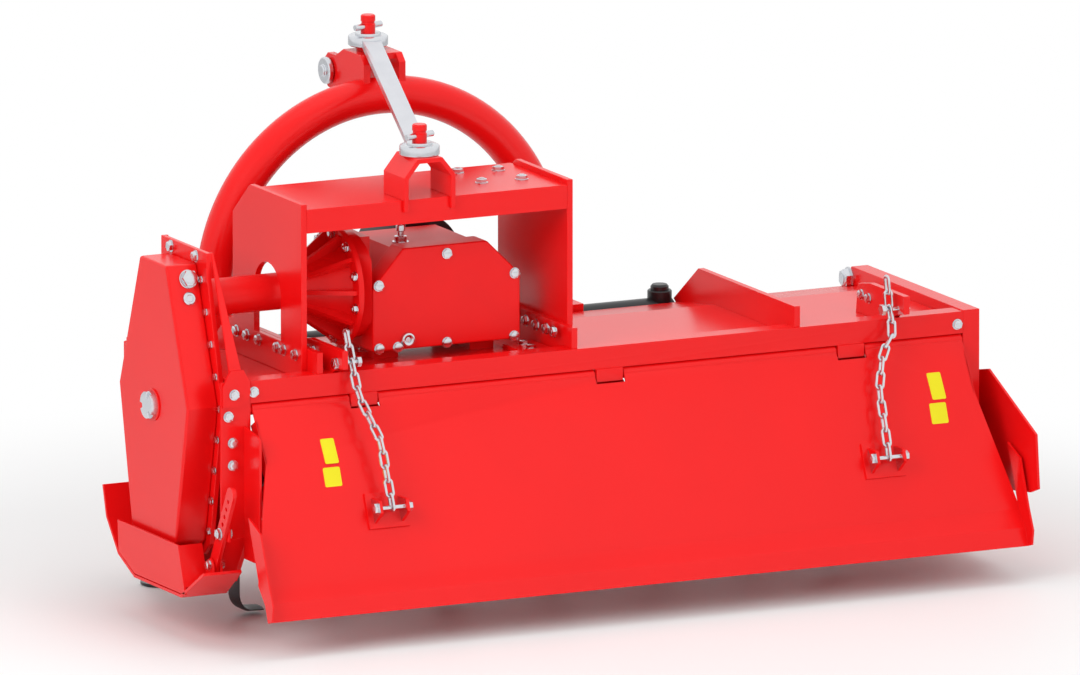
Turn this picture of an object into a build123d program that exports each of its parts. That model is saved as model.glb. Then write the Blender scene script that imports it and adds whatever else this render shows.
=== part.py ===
"""Tractor-mounted rotary tiller, 1.5 m working width, modelled as it stands parked.

Millimetres. +X is the machine's right, +Y the direction of travel, +Z up, and the floor is Z = 0.
"""
import os
from math import atan2, cos, degrees, hypot, radians, sin

from build123d import *

os.makedirs("parts", exist_ok=True)

# ---------------------------------------------------------------- driving sizes

frame_width = 1500.0        # between the inner faces of the end plates
frame_offset = 27.0         # the gear case reaches further out, so the frame's middle lies right of X = 0
plate_thick = 10.0          # end plates
beam_y = -242.0             # rear face of the rear beam
tip_radius = 230.0          # blade tips, so the rotor axis stands this high
rotor_forward = 196.0       # rotor axis ahead of the beam's rear face
rotor_drop = 265.0          # rotor axis below the beam's top
gear_rise = 389.0           # input axis above the rotor axis, spanned by the side gear train

beam_depth = 40.0
beam_height = 42.5
beam_wall = 4.0
deck_drop = 18.0            # deck's surface below the beam's top
deck_thick = 6.0
deck_flat = 347.0           # from the beam's rear face to the first bend
deck_front = 487.0          # to the front edge
front_drop = 20.0           # front edge below the flat deck
apron_drop = 100.0          # skirt below the front edge

cradle_thick = 12.0
cradle_left = 129.0         # outer face of the left cradle plate, from the left end plate
cradle_span = 569.0         # over both cradle plates
cradle_rear = 48.0
cradle_front = 347.0
cradle_height = 317.0       # above the beam's top
top_plate_thick = 10.0
top_flange = 46.0

bar_dia = 60.0
bar_forward = 530.0         # slide bar ahead of the beam's rear face
bar_drop = 65.0             # slide bar's axis below the beam's top

hitch_from_left = 528.0     # middle of the hitch, from the left end plate
arch_radius = 350.0         # centre line of the arch
arch_tube = 72.0
arch_wall = 6.0
arch_rise = 59.5            # centre of the arch above the beam's top

lower_pin_span = 825.0      # category 2, between the shoulders
lower_pin_dia = 28.0
lower_pin_length = 90.0
lower_pin_drop = 169.0      # below the beam's top
lower_pin_forward = 60.0    # ahead of the slide bar
top_pin_dia = 25.0

axle_dia = 70.0
rotor_tube_dia = 89.0
rotor_wall = 8.0
flange_dia = 200.0
flange_thick = 12.0
flange_count = 7
blades_a_side = 3
blade_thick = 8.0
blade_width = 66.0

board_thick = 4.0
hinge_rod_dia = 14.0
hinge_tube_dia = 22.0
chain_wire = 6.0
chain_pitch = 29.6
link_width = 21.0
chain_bolt_dia = 8.0
link_clear = 8.0            # between a chain and the plate beside it

leg_dia = 35.0
leg_clear = 0.5
foot_dia = 70.0
foot_thick = 6.0

# ---------------------------------------------------------------- places worked out from them

left_x = frame_offset - frame_width / 2
right_x = left_x + frame_width
rotor_y = beam_y + rotor_forward
rotor_z = tip_radius
beam_top = rotor_z + rotor_drop
deck_z = beam_top - deck_drop
input_z = rotor_z + gear_rise
idler_z = rotor_z + gear_rise / 2
bar_y = beam_y + bar_forward
bar_z = beam_top - bar_drop
hitch_x = left_x + hitch_from_left
arch_z = beam_top + arch_rise
crown_z = arch_z + arch_radius
cradle_x = left_x + cradle_left
cradle_end = cradle_x + cradle_span
hinge_y = beam_y + 9.0
hinge_z = beam_top - beam_height - 12.5
pin_y = bar_y + lower_pin_forward
pin_z = beam_top - lower_pin_drop


def band(points, thick):
    """Closed outline of a bent sheet: the points of one face and the other face thick to their left."""
    turns = []
    for first, last in zip(points, points[1:]):
        length = hypot(last[0] - first[0], last[1] - first[1])
        turns.append((-(last[1] - first[1]) / length, (last[0] - first[0]) / length))
    normals = [turns[0]]
    for before, after in zip(turns, turns[1:]):
        share = 1 + before[0] * after[0] + before[1] * after[1]
        normals.append(((before[0] + after[0]) / share, (before[1] + after[1]) / share))
    normals.append(turns[-1])
    other = [(p[0] + thick * n[0], p[1] + thick * n[1]) for p, n in zip(points, normals)]
    return list(points) + other[::-1]


def side_profile(outline, x, length):
    """Extrude a closed (Y, Z) outline along +X from x."""
    with BuildSketch(Plane.YZ.offset(x)) as profile:
        with BuildLine():
            Polyline(*outline, close=True)
        make_face()
    extrude(profile.sketch, amount=length)


# ---------------------------------------------------------------- deck and beams

with BuildPart() as deck:
    deck_line = [
        (beam_y + beam_depth, deck_z),
        (beam_y + deck_flat, deck_z),
        (beam_y + deck_front, deck_z - front_drop),
        (beam_y + deck_front, deck_z - front_drop - apron_drop),
    ]
    side_profile(band(deck_line, -deck_thick), left_x, frame_width)
deck.part.label = "deck"
export_step(deck.part, "parts/deck.step")

tab_width = 55.0
tab_places = [235.0, 750.0, 1260.0]     # middles, from the left end plate
tab_drop = 24.5

with BuildPart() as rear_beam:
    with BuildSketch(Plane.YZ.offset(left_x)):
        with Locations((beam_y + beam_depth / 2, beam_top - beam_height / 2)):
            Rectangle(beam_depth, beam_height)
            Rectangle(beam_depth - 2 * beam_wall, beam_height - 2 * beam_wall, mode=Mode.SUBTRACT)
    extrude(amount=frame_width)
    for place in tab_places:
        with BuildSketch(Plane.YZ.offset(left_x + place - tab_width / 2)):
            with Locations((hinge_y, beam_top - beam_height - tab_drop / 2)):
                Rectangle(26, tab_drop)
            with Locations((hinge_y, hinge_z)):
                Circle(hinge_rod_dia / 2, mode=Mode.SUBTRACT)
        extrude(amount=tab_width)
rear_beam.part.label = "rear_beam"
export_step(rear_beam.part, "parts/rear_beam.step")

with BuildPart() as hinge_rod:
    with BuildSketch(Plane.YZ.offset(left_x)):
        with Locations((hinge_y, hinge_z)):
            Circle(hinge_rod_dia / 2)
    extrude(amount=frame_width)
hinge_rod.part.label = "hinge_rod"
export_step(hinge_rod.part, "parts/hinge_rod.step")

# (Y from the beam's rear face, Z from the beam's top) of each end plate
left_outline = [(0, 2), (471, 2), (535, -20), (535, -110), (500, -200), (420, -395), (60, -395), (0, -300)]
right_outline = [(0, 2), (471, 2), (500, -40), (500, -200), (420, -395), (60, -395), (0, -300)]
plate_flange = 25.0
flange_sheet = 6.0
hub_dia = 120.0             # rotor bearing housings
hub_clear = 2.0


def from_beam(points):
    return [(beam_y + y, beam_top + z) for y, z in points]


rear_flange = {"left": 52.0, "right": plate_flange}
for side, outline, plate_x in (("left", left_outline, left_x - plate_thick), ("right", right_outline, right_x)):
    flange_x = plate_x - plate_flange if side == "left" else right_x + plate_thick
    rear_x = plate_x - rear_flange["left"] if side == "left" else flange_x
    with BuildPart() as end_plate:
        side_profile(from_beam(outline), plate_x, plate_thick)
        side_profile(from_beam([(0, -300), (0, 2), (flange_sheet, 2), (flange_sheet, -300)]),
                     rear_x, rear_flange[side])
        side_profile(from_beam([(0, 2), (471, 2), (471, 2 - flange_sheet), (0, 2 - flange_sheet)]),
                     flange_x, plate_flange)
        if side == "left":
            with BuildSketch(Plane.YZ.offset(plate_x)):
                with Locations((rotor_y, rotor_z)):
                    Circle(hub_dia / 2 + hub_clear)
            extrude(amount=plate_thick, mode=Mode.SUBTRACT)
    end_plate.part.label = f"end_plate_{side}"
    export_step(end_plate.part, f"parts/end_plate_{side}.step")

# ---------------------------------------------------------------- side wings beside the tailboard

wing_thick = 5.0
wing_gap = 57.0             # inner face outboard of the end plate's inner face
wing_foot = -339.0
right_wing = [(65, -130), (7, -118), (-191, -209), (-202, -313), (-170, -325), (-60, wing_foot), (65, wing_foot)]
left_wing = [(0, -85), (-62, -95), (-69, -102), (-69, -318), (-48, wing_foot), (0, wing_foot)]
return_line = [(60, wing_foot), (60, -130), (60 + wing_thick, -130), (60 + wing_thick, wing_foot)]
for side, outline in (("left", left_wing), ("right", right_wing)):
    with BuildPart() as side_wing:
        if side == "left":
            side_profile(from_beam(outline), left_x - plate_thick - wing_thick, wing_thick)
        else:
            side_profile(from_beam(outline), right_x + wing_gap, wing_thick)
            side_profile(from_beam(return_line), right_x + plate_thick, wing_gap - plate_thick + wing_thick)
    side_wing.part.label = f"side_wing_{side}"
    export_step(side_wing.part, f"parts/side_wing_{side}.step")

# ---------------------------------------------------------------- ribs on the deck

rib_thick = 12.0
rib_height = 40.0
inner_rib = [(5, 0), (5, rib_height), (400, rib_height), (480, -deck_drop - front_drop + 2),
             (deck_flat, -deck_drop), (beam_depth, -deck_drop), (beam_depth, 0)]
outer_rib = [(5, 0), (5, rib_height), (413, rib_height), (512, -32), (560, -66), (560, -110),
             (deck_front + 5, -110), (deck_front, -deck_drop - front_drop), (deck_flat, -deck_drop),
             (beam_depth, -deck_drop), (beam_depth, 0)]
# (name, from the left end plate, outline)
ribs = [
    ("rib_cradle_left", cradle_left + cradle_thick, inner_rib),
    ("rib_cradle_right", cradle_left + cradle_span - cradle_thick - rib_thick, inner_rib),
    ("rib_right", 1144.0, outer_rib),
]
with BuildPart() as deck_ribs:
    for name, place, outline in ribs:
        side_profile(from_beam(outline), left_x + place, rib_thick)
    with BuildSketch(Plane.YZ.offset(left_x)):
        with Locations((bar_y, bar_z)):
            Circle(bar_dia / 2)
    extrude(amount=frame_width, mode=Mode.SUBTRACT)
deck_ribs.part.label = "deck_ribs"
export_step(deck_ribs.part, "parts/deck_ribs.step")

# ---------------------------------------------------------------- cradle over the gearbox

slot_width = 114.0          # for the axle tube, open down to the rib
cradle_outline = [(cradle_rear, -deck_drop), (cradle_rear, cradle_height), (272, cradle_height),
                  (cradle_front, 253), (cradle_front, -deck_drop)]
for side, x in (("left", cradle_x), ("right", cradle_end - cradle_thick)):
    with BuildPart() as cradle_side:
        side_profile(from_beam(cradle_outline), x, cradle_thick)
        if side == "left":
            with BuildSketch(Plane.YZ.offset(x)):
                with Locations((rotor_y, input_z)):
                    Circle(slot_width / 2)
                with Locations((rotor_y, (input_z + beam_top + rib_height) / 2)):
                    Rectangle(slot_width, input_z - beam_top - rib_height)
            extrude(amount=cradle_thick, mode=Mode.SUBTRACT)
    cradle_side.part.label = f"cradle_side_{side}"
    export_step(cradle_side.part, f"parts/cradle_side_{side}.step")

top_z = beam_top + cradle_height - top_plate_thick
with BuildPart() as cradle_top:
    top_line = [(cradle_rear, 307 - top_flange), (cradle_rear, 307), (290, 307)]
    side_profile(from_beam(band(top_line, -top_plate_thick)), cradle_x + cradle_thick,
                 cradle_span - 2 * cradle_thick)
cradle_top.part.label = "cradle_top"
export_step(cradle_top.part, "parts/cradle_top.step")

bracket_width = 107.0
bracket_sheet = 9.0
bracket_height = 78.0
bracket_x = left_x + 394.0
bracket_rear = beam_y + cradle_rear - bracket_sheet
bracket_top = top_z + bracket_height
with BuildPart() as strut_bracket:
    with BuildSketch(Plane.XZ.offset(-bracket_rear)):
        half = bracket_width / 2
        with BuildLine():
            Polyline(*band([(bracket_x - half, top_z), (bracket_x - half, bracket_top - 34),
                            (bracket_x - 26, bracket_top), (bracket_x + 26, bracket_top),
                            (bracket_x + half, bracket_top - 34), (bracket_x + half, top_z)],
                           -bracket_sheet), close=True)
        make_face()
    extrude(amount=-(82 + bracket_sheet))
    with BuildSketch(Plane.XZ.offset(-bracket_rear)):
        for x in (bracket_x - half + bracket_sheet / 2, bracket_x + half - bracket_sheet / 2):
            with Locations((x, top_z - 11)):
                Rectangle(bracket_sheet, 22)
    extrude(amount=-bracket_sheet)
strut_bracket.part.label = "strut_bracket"
export_step(strut_bracket.part, "parts/strut_bracket.step")

# ---------------------------------------------------------------- slide bar and hitch arch

tube_sides = 16              # flats that stand for a round tube
sleeve_dia = 76.0
stand_gap = 55.5            # from the left lower pin's shoulder to the left leg
stand_places = [hitch_from_left - lower_pin_span / 2 - stand_gap, 1120.0]    # legs, from the left end plate
sleeve_clear = 0.3
socket_dia = 46.0
socket_length = 90.0
bar_length = 1144.0

with BuildPart() as slide_bar:
    with BuildSketch(Plane.YZ.offset(left_x)):
        with Locations((bar_y, bar_z)):
            Circle(bar_dia / 2)
    extrude(amount=bar_length)
    for place in stand_places:
        with BuildSketch(Plane.XY.offset(bar_z - socket_length / 2)):
            with Locations((left_x + place, bar_y)):
                RegularPolygon(socket_dia / 2, 8)
        extrude(amount=socket_length)
    for place in stand_places:
        with BuildSketch(Plane.XY.offset(bar_z - socket_length / 2)):
            with Locations((left_x + place, bar_y)):
                Circle(leg_dia / 2 + leg_clear)
        extrude(amount=socket_length, mode=Mode.SUBTRACT)
slide_bar.part.label = "slide_bar"
export_step(slide_bar.part, "parts/slide_bar.step")

arch_steps = 18
arch_points = [(hitch_x - arch_radius, bar_y, bar_z)]
for n in range(arch_steps + 1):
    turn = radians(180 - 180 * n / arch_steps)
    arch_points.append((hitch_x + arch_radius * cos(turn), bar_y, arch_z + arch_radius * sin(turn)))
arch_points.append((hitch_x + arch_radius, bar_y, bar_z))

with BuildPart() as arch_solid:
    with BuildLine() as arch_path:
        Polyline(*arch_points)
    with BuildSketch(Plane.XY.offset(bar_z)):
        with Locations((hitch_x - arch_radius, bar_y)):
            RegularPolygon(arch_tube / 2, tube_sides)
    sweep(path=arch_path.wire(), transition=Transition.RIGHT)

with BuildPart() as hitch_arch:
    with BuildLine() as arch_path:
        Polyline(*arch_points)
    with BuildSketch(Plane.XY.offset(bar_z)):
        with Locations((hitch_x - arch_radius, bar_y)):
            RegularPolygon(arch_tube / 2, tube_sides)
            RegularPolygon(arch_tube / 2 - arch_wall, 6, mode=Mode.SUBTRACT)
    sweep(path=arch_path.wire(), transition=Transition.RIGHT)
    with BuildSketch(Plane.YZ.offset(left_x)):
        with Locations((bar_y, bar_z)):
            RegularPolygon(sleeve_dia / 2, tube_sides)
    extrude(amount=frame_width, mode=Mode.SUBTRACT)
hitch_arch.part.label = "hitch_arch"
export_step(hitch_arch.part, "parts/hitch_arch.step")

ear_outer = 44.0
ear_thick = 14.0
top_pin_y = bar_y + 130.0
top_pin_z = crown_z + 29.0
yoke_top = crown_z + 80.0
with BuildPart() as top_yoke:
    ear = [(-20, 4), (-20, 64), (-4, 80), (70, 80), (104, 62), (138, 62), (156, 46), (156, 14), (138, -4),
           (96, -8), (40, -4)]
    for x in (hitch_x - ear_outer, hitch_x + ear_outer - ear_thick):
        side_profile([(bar_y + y, crown_z + z) for y, z in ear], x, ear_thick)
    with BuildSketch(Plane.XY.offset(yoke_top)):
        with Locations((hitch_x, bar_y + 33)):
            Rectangle(2 * ear_outer, 74)
    extrude(amount=-12)
    add(arch_solid.part, mode=Mode.SUBTRACT)
    with BuildSketch(Plane.YZ.offset(hitch_x - ear_outer)):
        with Locations((top_pin_y, top_pin_z)):
            Circle(top_pin_dia / 2 + 0.3)
    extrude(amount=2 * ear_outer, mode=Mode.SUBTRACT)
top_yoke.part.label = "top_yoke"
export_step(top_yoke.part, "parts/top_yoke.step")

with BuildPart() as top_pin:
    with BuildSketch(Plane.YZ.offset(hitch_x - ear_outer - 20)):
        with Locations((top_pin_y, top_pin_z)):
            Circle(top_pin_dia / 2)
    extrude(amount=2 * ear_outer + 40)
    with BuildSketch(Plane.YZ.offset(hitch_x - ear_outer - 12)):
        with Locations((top_pin_y, top_pin_z)):
            RegularPolygon(25, 12)
    extrude(amount=10)
top_pin.part.label = "top_pin"
export_step(top_pin.part, "parts/top_pin.step")

# ---------------------------------------------------------------- brace from the cradle to the yoke

eye_dia = 70.0
strut_pin_dia = 28.0
pin_sides = 12
eye_thick = 14.0
low_eye = (bracket_x, beam_y + 85, bracket_top + 4)
high_eye = (hitch_x, bar_y + 53, yoke_top + 11)
run = hypot(high_eye[0] - low_eye[0], high_eye[1] - low_eye[1])
heading = degrees(atan2(high_eye[1] - low_eye[1], high_eye[0] - low_eye[0]))
with BuildPart() as strut:
    for eye in (low_eye, high_eye):
        with BuildSketch(Plane.XY.offset(eye[2])):
            with Locations(eye[:2]):
                RegularPolygon(eye_dia / 2, tube_sides)
        extrude(amount=eye_thick)
    strut_plane = Plane(origin=low_eye, x_dir=(cos(radians(heading)), sin(radians(heading)), 0),
                        z_dir=(sin(radians(heading)), -cos(radians(heading)), 0))
    rise = high_eye[2] - low_eye[2]
    with BuildSketch(strut_plane.offset(-18)):
        with BuildLine():
            Polyline((0, 1), (24, 1), (run - 24, rise + 1), (run, rise + 1), (run, rise + 13),
                     (run - 26, rise + 13), (22, 13), (0, 13), close=True)
        make_face()
    extrude(amount=36)
    for eye in (low_eye, high_eye):
        with BuildSketch(Plane.XY.offset(eye[2])):
            with Locations(eye[:2]):
                RegularPolygon(strut_pin_dia / 2 + 0.3, pin_sides)
        extrude(amount=eye_thick, mode=Mode.SUBTRACT)
strut.part.label = "strut"
export_step(strut.part, "parts/strut.step")

with BuildPart() as strut_pins:
    for eye, foot in ((low_eye, bracket_top), (high_eye, yoke_top)):
        with BuildSketch(Plane.XY.offset(foot)):
            with Locations(eye[:2]):
                RegularPolygon(strut_pin_dia / 2, pin_sides)
        extrude(amount=eye[2] - foot + eye_thick + 42)
        with BuildSketch(Plane.XY.offset(eye[2] + eye_thick)):
            with Locations(eye[:2]):
                RegularPolygon(22.5, pin_sides)
        extrude(amount=5)
        with BuildSketch(Plane.XY.offset(foot)):
            with Locations(eye[:2]):
                RegularPolygon(22.5, pin_sides)
        extrude(amount=eye[2] - foot)
        with BuildSketch(Plane.YZ.offset(eye[0] - 30)):
            with Locations((eye[1], eye[2] + eye_thick + 26)):
                RegularPolygon(5, 8)
        extrude(amount=60)
strut_pins.part.label = "strut_pins"
export_step(strut_pins.part, "parts/strut_pins.step")

# ---------------------------------------------------------------- lower hitch on the slide bar

for side, sign in (("left", -1), ("right", 1)):
    shoulder_x = hitch_x + sign * lower_pin_span / 2
    inner_x = hitch_x + sign * (arch_radius - 46)
    plate_x = hitch_x + sign * (arch_radius + arch_tube / 2)
    with BuildPart() as lower_hitch:
        with BuildSketch(Plane.YZ.offset(min(plate_x, inner_x))):
            with Locations((bar_y, bar_z)):
                RegularPolygon(sleeve_dia / 2, tube_sides)
        extrude(amount=abs(plate_x - inner_x))
        with BuildSketch(Plane.YZ.offset(min(plate_x, shoulder_x))):
            with BuildLine():
                Polyline((bar_y - 36, bar_z + 40), (bar_y + 45, bar_z + 40), (pin_y + 40, pin_z + 20),
                         (pin_y + 30, pin_z - 38), (pin_y - 34, pin_z - 38), (bar_y - 32, bar_z - 40),
                         close=True)
            make_face()
        extrude(amount=abs(shoulder_x - plate_x))
        with BuildSketch(Plane.YZ.offset(min(shoulder_x, shoulder_x + sign * lower_pin_length))):
            with Locations((pin_y, pin_z)):
                Circle(lower_pin_dia / 2)
        extrude(amount=lower_pin_length)
        with BuildSketch(Plane.YZ.offset(left_x - plate_thick)):
            with Locations((bar_y, bar_z)):
                Circle(bar_dia / 2 + sleeve_clear)
        extrude(amount=frame_width, mode=Mode.SUBTRACT)
    lower_hitch.part.label = f"lower_hitch_{side}"
    export_step(lower_hitch.part, f"parts/lower_hitch_{side}.step")

# ---------------------------------------------------------------- gearbox and its axle tube

cover_left = left_x + 308.0
cover_width = 310.0
cover_rear = beam_y + 110.0
cover_deep = 55.0
box_bottom = beam_top + 7.0
box_height = 194.0
with BuildPart() as gearbox_cover:
    with BuildSketch(Plane.XZ.offset(-cover_rear)):
        with BuildLine():
            Polyline((cover_left, box_bottom), (cover_left, box_bottom + 120), (cover_left + 64, box_bottom + 194),
                     (cover_left + 240, box_bottom + 194), (cover_left + 310, box_bottom + 125),
                     (cover_left + 310, box_bottom), close=True)
        make_face()
    extrude(amount=-cover_deep)
gearbox_cover.part.label = "gearbox_cover"
export_step(gearbox_cover.part, "parts/gearbox_cover.step")

box_rear = cover_rear + cover_deep
box_front = beam_y + 330.0
input_x = hitch_x
barrel_left = cover_left - 36
ring_thick = 22.0
barrel_dia = 200.0
cone_half = 79.0            # from the axis to its eight flats, at the ring
cone_end_half = 38.0
cone_length = 62.0
ring_dia = 224.0
with BuildPart() as gearbox:
    with BuildSketch(Plane.XZ.offset(-box_rear)):
        with BuildLine():
            Polyline((cover_left + 8, box_bottom), (cover_left + 8, box_bottom + 116),
                     (cover_left + 66, box_bottom + 186), (cover_left + 238, box_bottom + 186),
                     (cover_left + 302, box_bottom + 122), (cover_left + 302, box_bottom), close=True)
        make_face()
    extrude(amount=-(box_front - box_rear))
    with BuildSketch(Plane.YZ.offset(barrel_left)):
        with Locations((rotor_y, input_z)):
            RegularPolygon(barrel_dia / 2, 20)
    extrude(amount=cover_left - barrel_left)
    with BuildSketch(Plane.YZ.offset(cover_left)):
        with Locations((box_rear + 60, input_z)):
            Rectangle(120, 190)
    extrude(amount=20)
    for x in (cover_left + 40, cover_left + 240):
        with BuildSketch(Plane.XY.offset(deck_z)):
            with Locations((x + 15, (box_rear + box_front) / 2)):
                Rectangle(50, box_front - box_rear)
        extrude(amount=box_bottom - deck_z)
    with BuildSketch(Plane.XZ.offset(-box_front)):
        with Locations((input_x, input_z)):
            Circle(62)
    extrude(amount=-30)
    with BuildSketch(Plane.XZ.offset(-(box_front - 40))):
        with Locations((input_x, input_z)):
            Circle(22)
    extrude(amount=-70, mode=Mode.SUBTRACT)
gearbox.part.label = "gearbox"
export_step(gearbox.part, "parts/gearbox.step")

ring_left = barrel_left - ring_thick
with BuildPart() as axle_cone:
    for turn in (0, 45, 90, 135):
        across = (0, sin(radians(turn)), cos(radians(turn)))
        with BuildSketch(Plane(origin=(ring_left, rotor_y, input_z), x_dir=(1, 0, 0), z_dir=across)):
            with BuildLine():
                Polyline((0, -cone_half), (0, cone_half), (-cone_length, cone_end_half),
                         (-cone_length, -cone_end_half), close=True)
            make_face()
        extrude(amount=2 * cone_half, both=True, mode=Mode.INTERSECT if turn else Mode.ADD)

with BuildPart() as axle_tube:
    with BuildSketch(Plane.YZ.offset(left_x - plate_thick - plate_flange)):
        with Locations((rotor_y, input_z)):
            RegularPolygon(axle_dia / 2, tube_sides)
    extrude(amount=barrel_left - left_x + plate_thick + plate_flange)
    with BuildSketch(Plane.YZ.offset(ring_left)):
        with Locations((rotor_y, input_z)):
            RegularPolygon(ring_dia / 2, 20)
    extrude(amount=ring_thick)
    add(axle_cone.part)
axle_tube.part.label = "axle_tube"
export_step(axle_tube.part, "parts/axle_tube.step")

with BuildPart() as pto_guard:
    with BuildSketch(Plane.XZ.offset(-(box_front + 30))):
        with Locations((input_x, input_z)):
            RegularPolygon(85, 24)
            RegularPolygon(80, 24, mode=Mode.SUBTRACT)
    extrude(amount=-110)
    with BuildSketch(Plane.XZ.offset(-(box_front + 26))):
        with Locations((input_x, input_z)):
            RegularPolygon(85, 24)
            RegularPolygon(64, 24, mode=Mode.SUBTRACT)
    extrude(amount=-8)
pto_guard.part.label = "pto_guard"
export_step(pto_guard.part, "parts/pto_guard.step")

with BuildPart() as pto_shaft:
    with BuildSketch(Plane.XZ.offset(-(box_front - 30))):
        with Locations((input_x, input_z)):
            Circle(17.5)
    extrude(amount=-150)
pto_shaft.part.label = "pto_shaft"
export_step(pto_shaft.part, "parts/pto_shaft.step")

# ---------------------------------------------------------------- side gear case

case_width = 65.0
mount_thick = 10.0
mount_rim = 14.0            # plate's edge outside the case
mount_x = left_x - plate_thick - plate_flange - mount_thick
case_outer = mount_x - case_width
# (half width, Z from the beam's top) from the top down
case_sections = [(58, 205), (150, -54), (96, -319), (66, -344)]
case_outline = [(rotor_y - w, beam_top + z) for w, z in case_sections]
case_outline += [(rotor_y + w, beam_top + z) for w, z in reversed(case_sections)]
with BuildPart() as gear_case:
    side_profile(case_outline, case_outer, case_width)
gear_case.part.label = "gear_case"
export_step(gear_case.part, "parts/gear_case.step")

# the plate the case is bolted to, with its sloping gussets down to the end plate and the rotor's hub
tab_half = 100.0
tab_top = 231.0
mount_sections = [(tab_half, tab_top), (tab_half, tab_top - 45), (150 + mount_rim, -54), (96 + mount_rim, -325),
                  (66 + mount_rim, -350)]
mount_outline = [(rotor_y - w, beam_top + z) for w, z in mount_sections]
mount_outline += [(rotor_y + w, beam_top + z) for w, z in reversed(mount_sections)]
gusset_foot = 2.0           # on the end plate's top flange
with BuildPart() as case_mount:
    for sign in (-1, 1):
        foot = rotor_forward + sign * 182
        head = rotor_forward + sign * tab_half
        inner = 6.0 * -sign
        side_profile(from_beam([(foot, gusset_foot), (head, tab_top), (head + inner, tab_top),
                                (foot + inner, gusset_foot)]), mount_x + mount_thick, plate_flange)
    with BuildSketch(Plane.XZ.offset(-beam_y)):
        with BuildLine():
            Polyline((mount_x + mount_thick, beam_top), (left_x - plate_thick, beam_top),
                     (left_x - plate_thick, beam_top + 20), (mount_x + mount_thick + 4, beam_top + tab_top),
                     (mount_x + mount_thick, beam_top + tab_top), close=True)
        make_face()
    extrude(amount=-2 * rotor_forward, mode=Mode.INTERSECT)
    side_profile(mount_outline, mount_x, mount_thick)
    with BuildSketch(Plane.YZ.offset(mount_x)):
        for y in (rotor_y - 54, rotor_y + 54):
            with Locations((y, beam_top + tab_top - 13)):
                RegularPolygon(8, 10)
    extrude(amount=mount_thick, mode=Mode.SUBTRACT)
    with BuildSketch(Plane.YZ.offset(mount_x + mount_thick)):
        with Locations((rotor_y, rotor_z)):
            RegularPolygon(hub_dia / 2, 24)
    extrude(amount=plate_flange + plate_thick)
case_mount.part.label = "case_mount"
export_step(case_mount.part, "parts/case_mount.step")

with BuildPart() as idler_cap:
    with BuildSketch(Plane.YZ.offset(case_outer)):
        with Locations((rotor_y, idler_z)):
            RegularPolygon(24, 6)
    extrude(amount=-16)
idler_cap.part.label = "idler_cap"
export_step(idler_cap.part, "parts/idler_cap.step")

# ---------------------------------------------------------------- skids

skid_sheet = 6.0
skid_bar = 10.0
skid_lines = {
    "left": [(389, -259), (373, -318), (321, -380), (249, -412), (19, -412), (-61, -384)],
    "right": [(440, -271), (424, -330), (372, -392), (300, -420), (30, -420), (-40, -392)],
}
guard_gap = 15.0            # outboard of the case
for side in ("left", "right"):
    skid_x = case_outer - guard_gap if side == "left" else right_x + plate_thick
    width = left_x - plate_thick - skid_x if side == "left" else wing_gap + wing_thick + skid_bar - plate_thick
    strap_x = left_x - wing_gap - wing_thick - skid_bar if side == "left" else right_x + wing_gap + wing_thick
    heel = skid_lines[side][-2:]
    with BuildPart() as skid:
        side_profile(from_beam(band(skid_lines[side], -skid_sheet)), skid_x, width)
        side_profile(from_beam([(-12, -200), (18, -200), (30, heel[0][1]), (0, heel[0][1] + 3)]), strap_x, skid_bar)
    skid.part.label = f"skid_{side}"
    export_step(skid.part, f"parts/skid_{side}.step")

guard_sheet = 5.0
with BuildPart() as case_guard:
    guard_rear = [(57, -314), (31, -390)]
    side_profile(from_beam([(322, -314), *guard_rear, (27, -404), (247, -404), (318, -374)]),
                 case_outer - guard_gap, guard_sheet)
    side_profile(from_beam(band(guard_rear, guard_sheet)), case_outer - guard_gap, 51)
case_guard.part.label = "case_guard"
export_step(case_guard.part, "parts/case_guard.step")

with BuildPart() as bearing_right:
    with BuildSketch(Plane.YZ.offset(right_x + plate_thick)):
        with Locations((rotor_y, rotor_z)):
            RegularPolygon(hub_dia / 2, 24)
    extrude(amount=30)
bearing_right.part.label = "bearing_right"
export_step(bearing_right.part, "parts/bearing_right.step")

# ---------------------------------------------------------------- rotor

flange_first = left_x + 45.0
flange_step = (frame_width - 90.0 - flange_thick) / (flange_count - 1)
rotor_clear = 8.0           # between the tube's ends and the end plates
with BuildPart() as rotor_shaft:
    with BuildSketch(Plane.YZ.offset(left_x + rotor_clear)):
        with Locations((rotor_y, rotor_z)):
            RegularPolygon(rotor_tube_dia / 2, 18)
    extrude(amount=frame_width - 2 * rotor_clear)
    for n in range(flange_count):
        with BuildSketch(Plane.YZ.offset(flange_first + n * flange_step)):
            with Locations((rotor_y, rotor_z)):
                RegularPolygon(flange_dia / 2, 18)
        extrude(amount=flange_thick)
    with BuildSketch(Plane.YZ.offset(left_x + rotor_clear)):
        with Locations((rotor_y, rotor_z)):
            RegularPolygon(rotor_tube_dia / 2 - rotor_wall, 9)
    extrude(amount=frame_width - 2 * rotor_clear, mode=Mode.SUBTRACT)
rotor_shaft.part.label = "rotor_shaft"
export_step(rotor_shaft.part, "parts/rotor_shaft.step")

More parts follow.
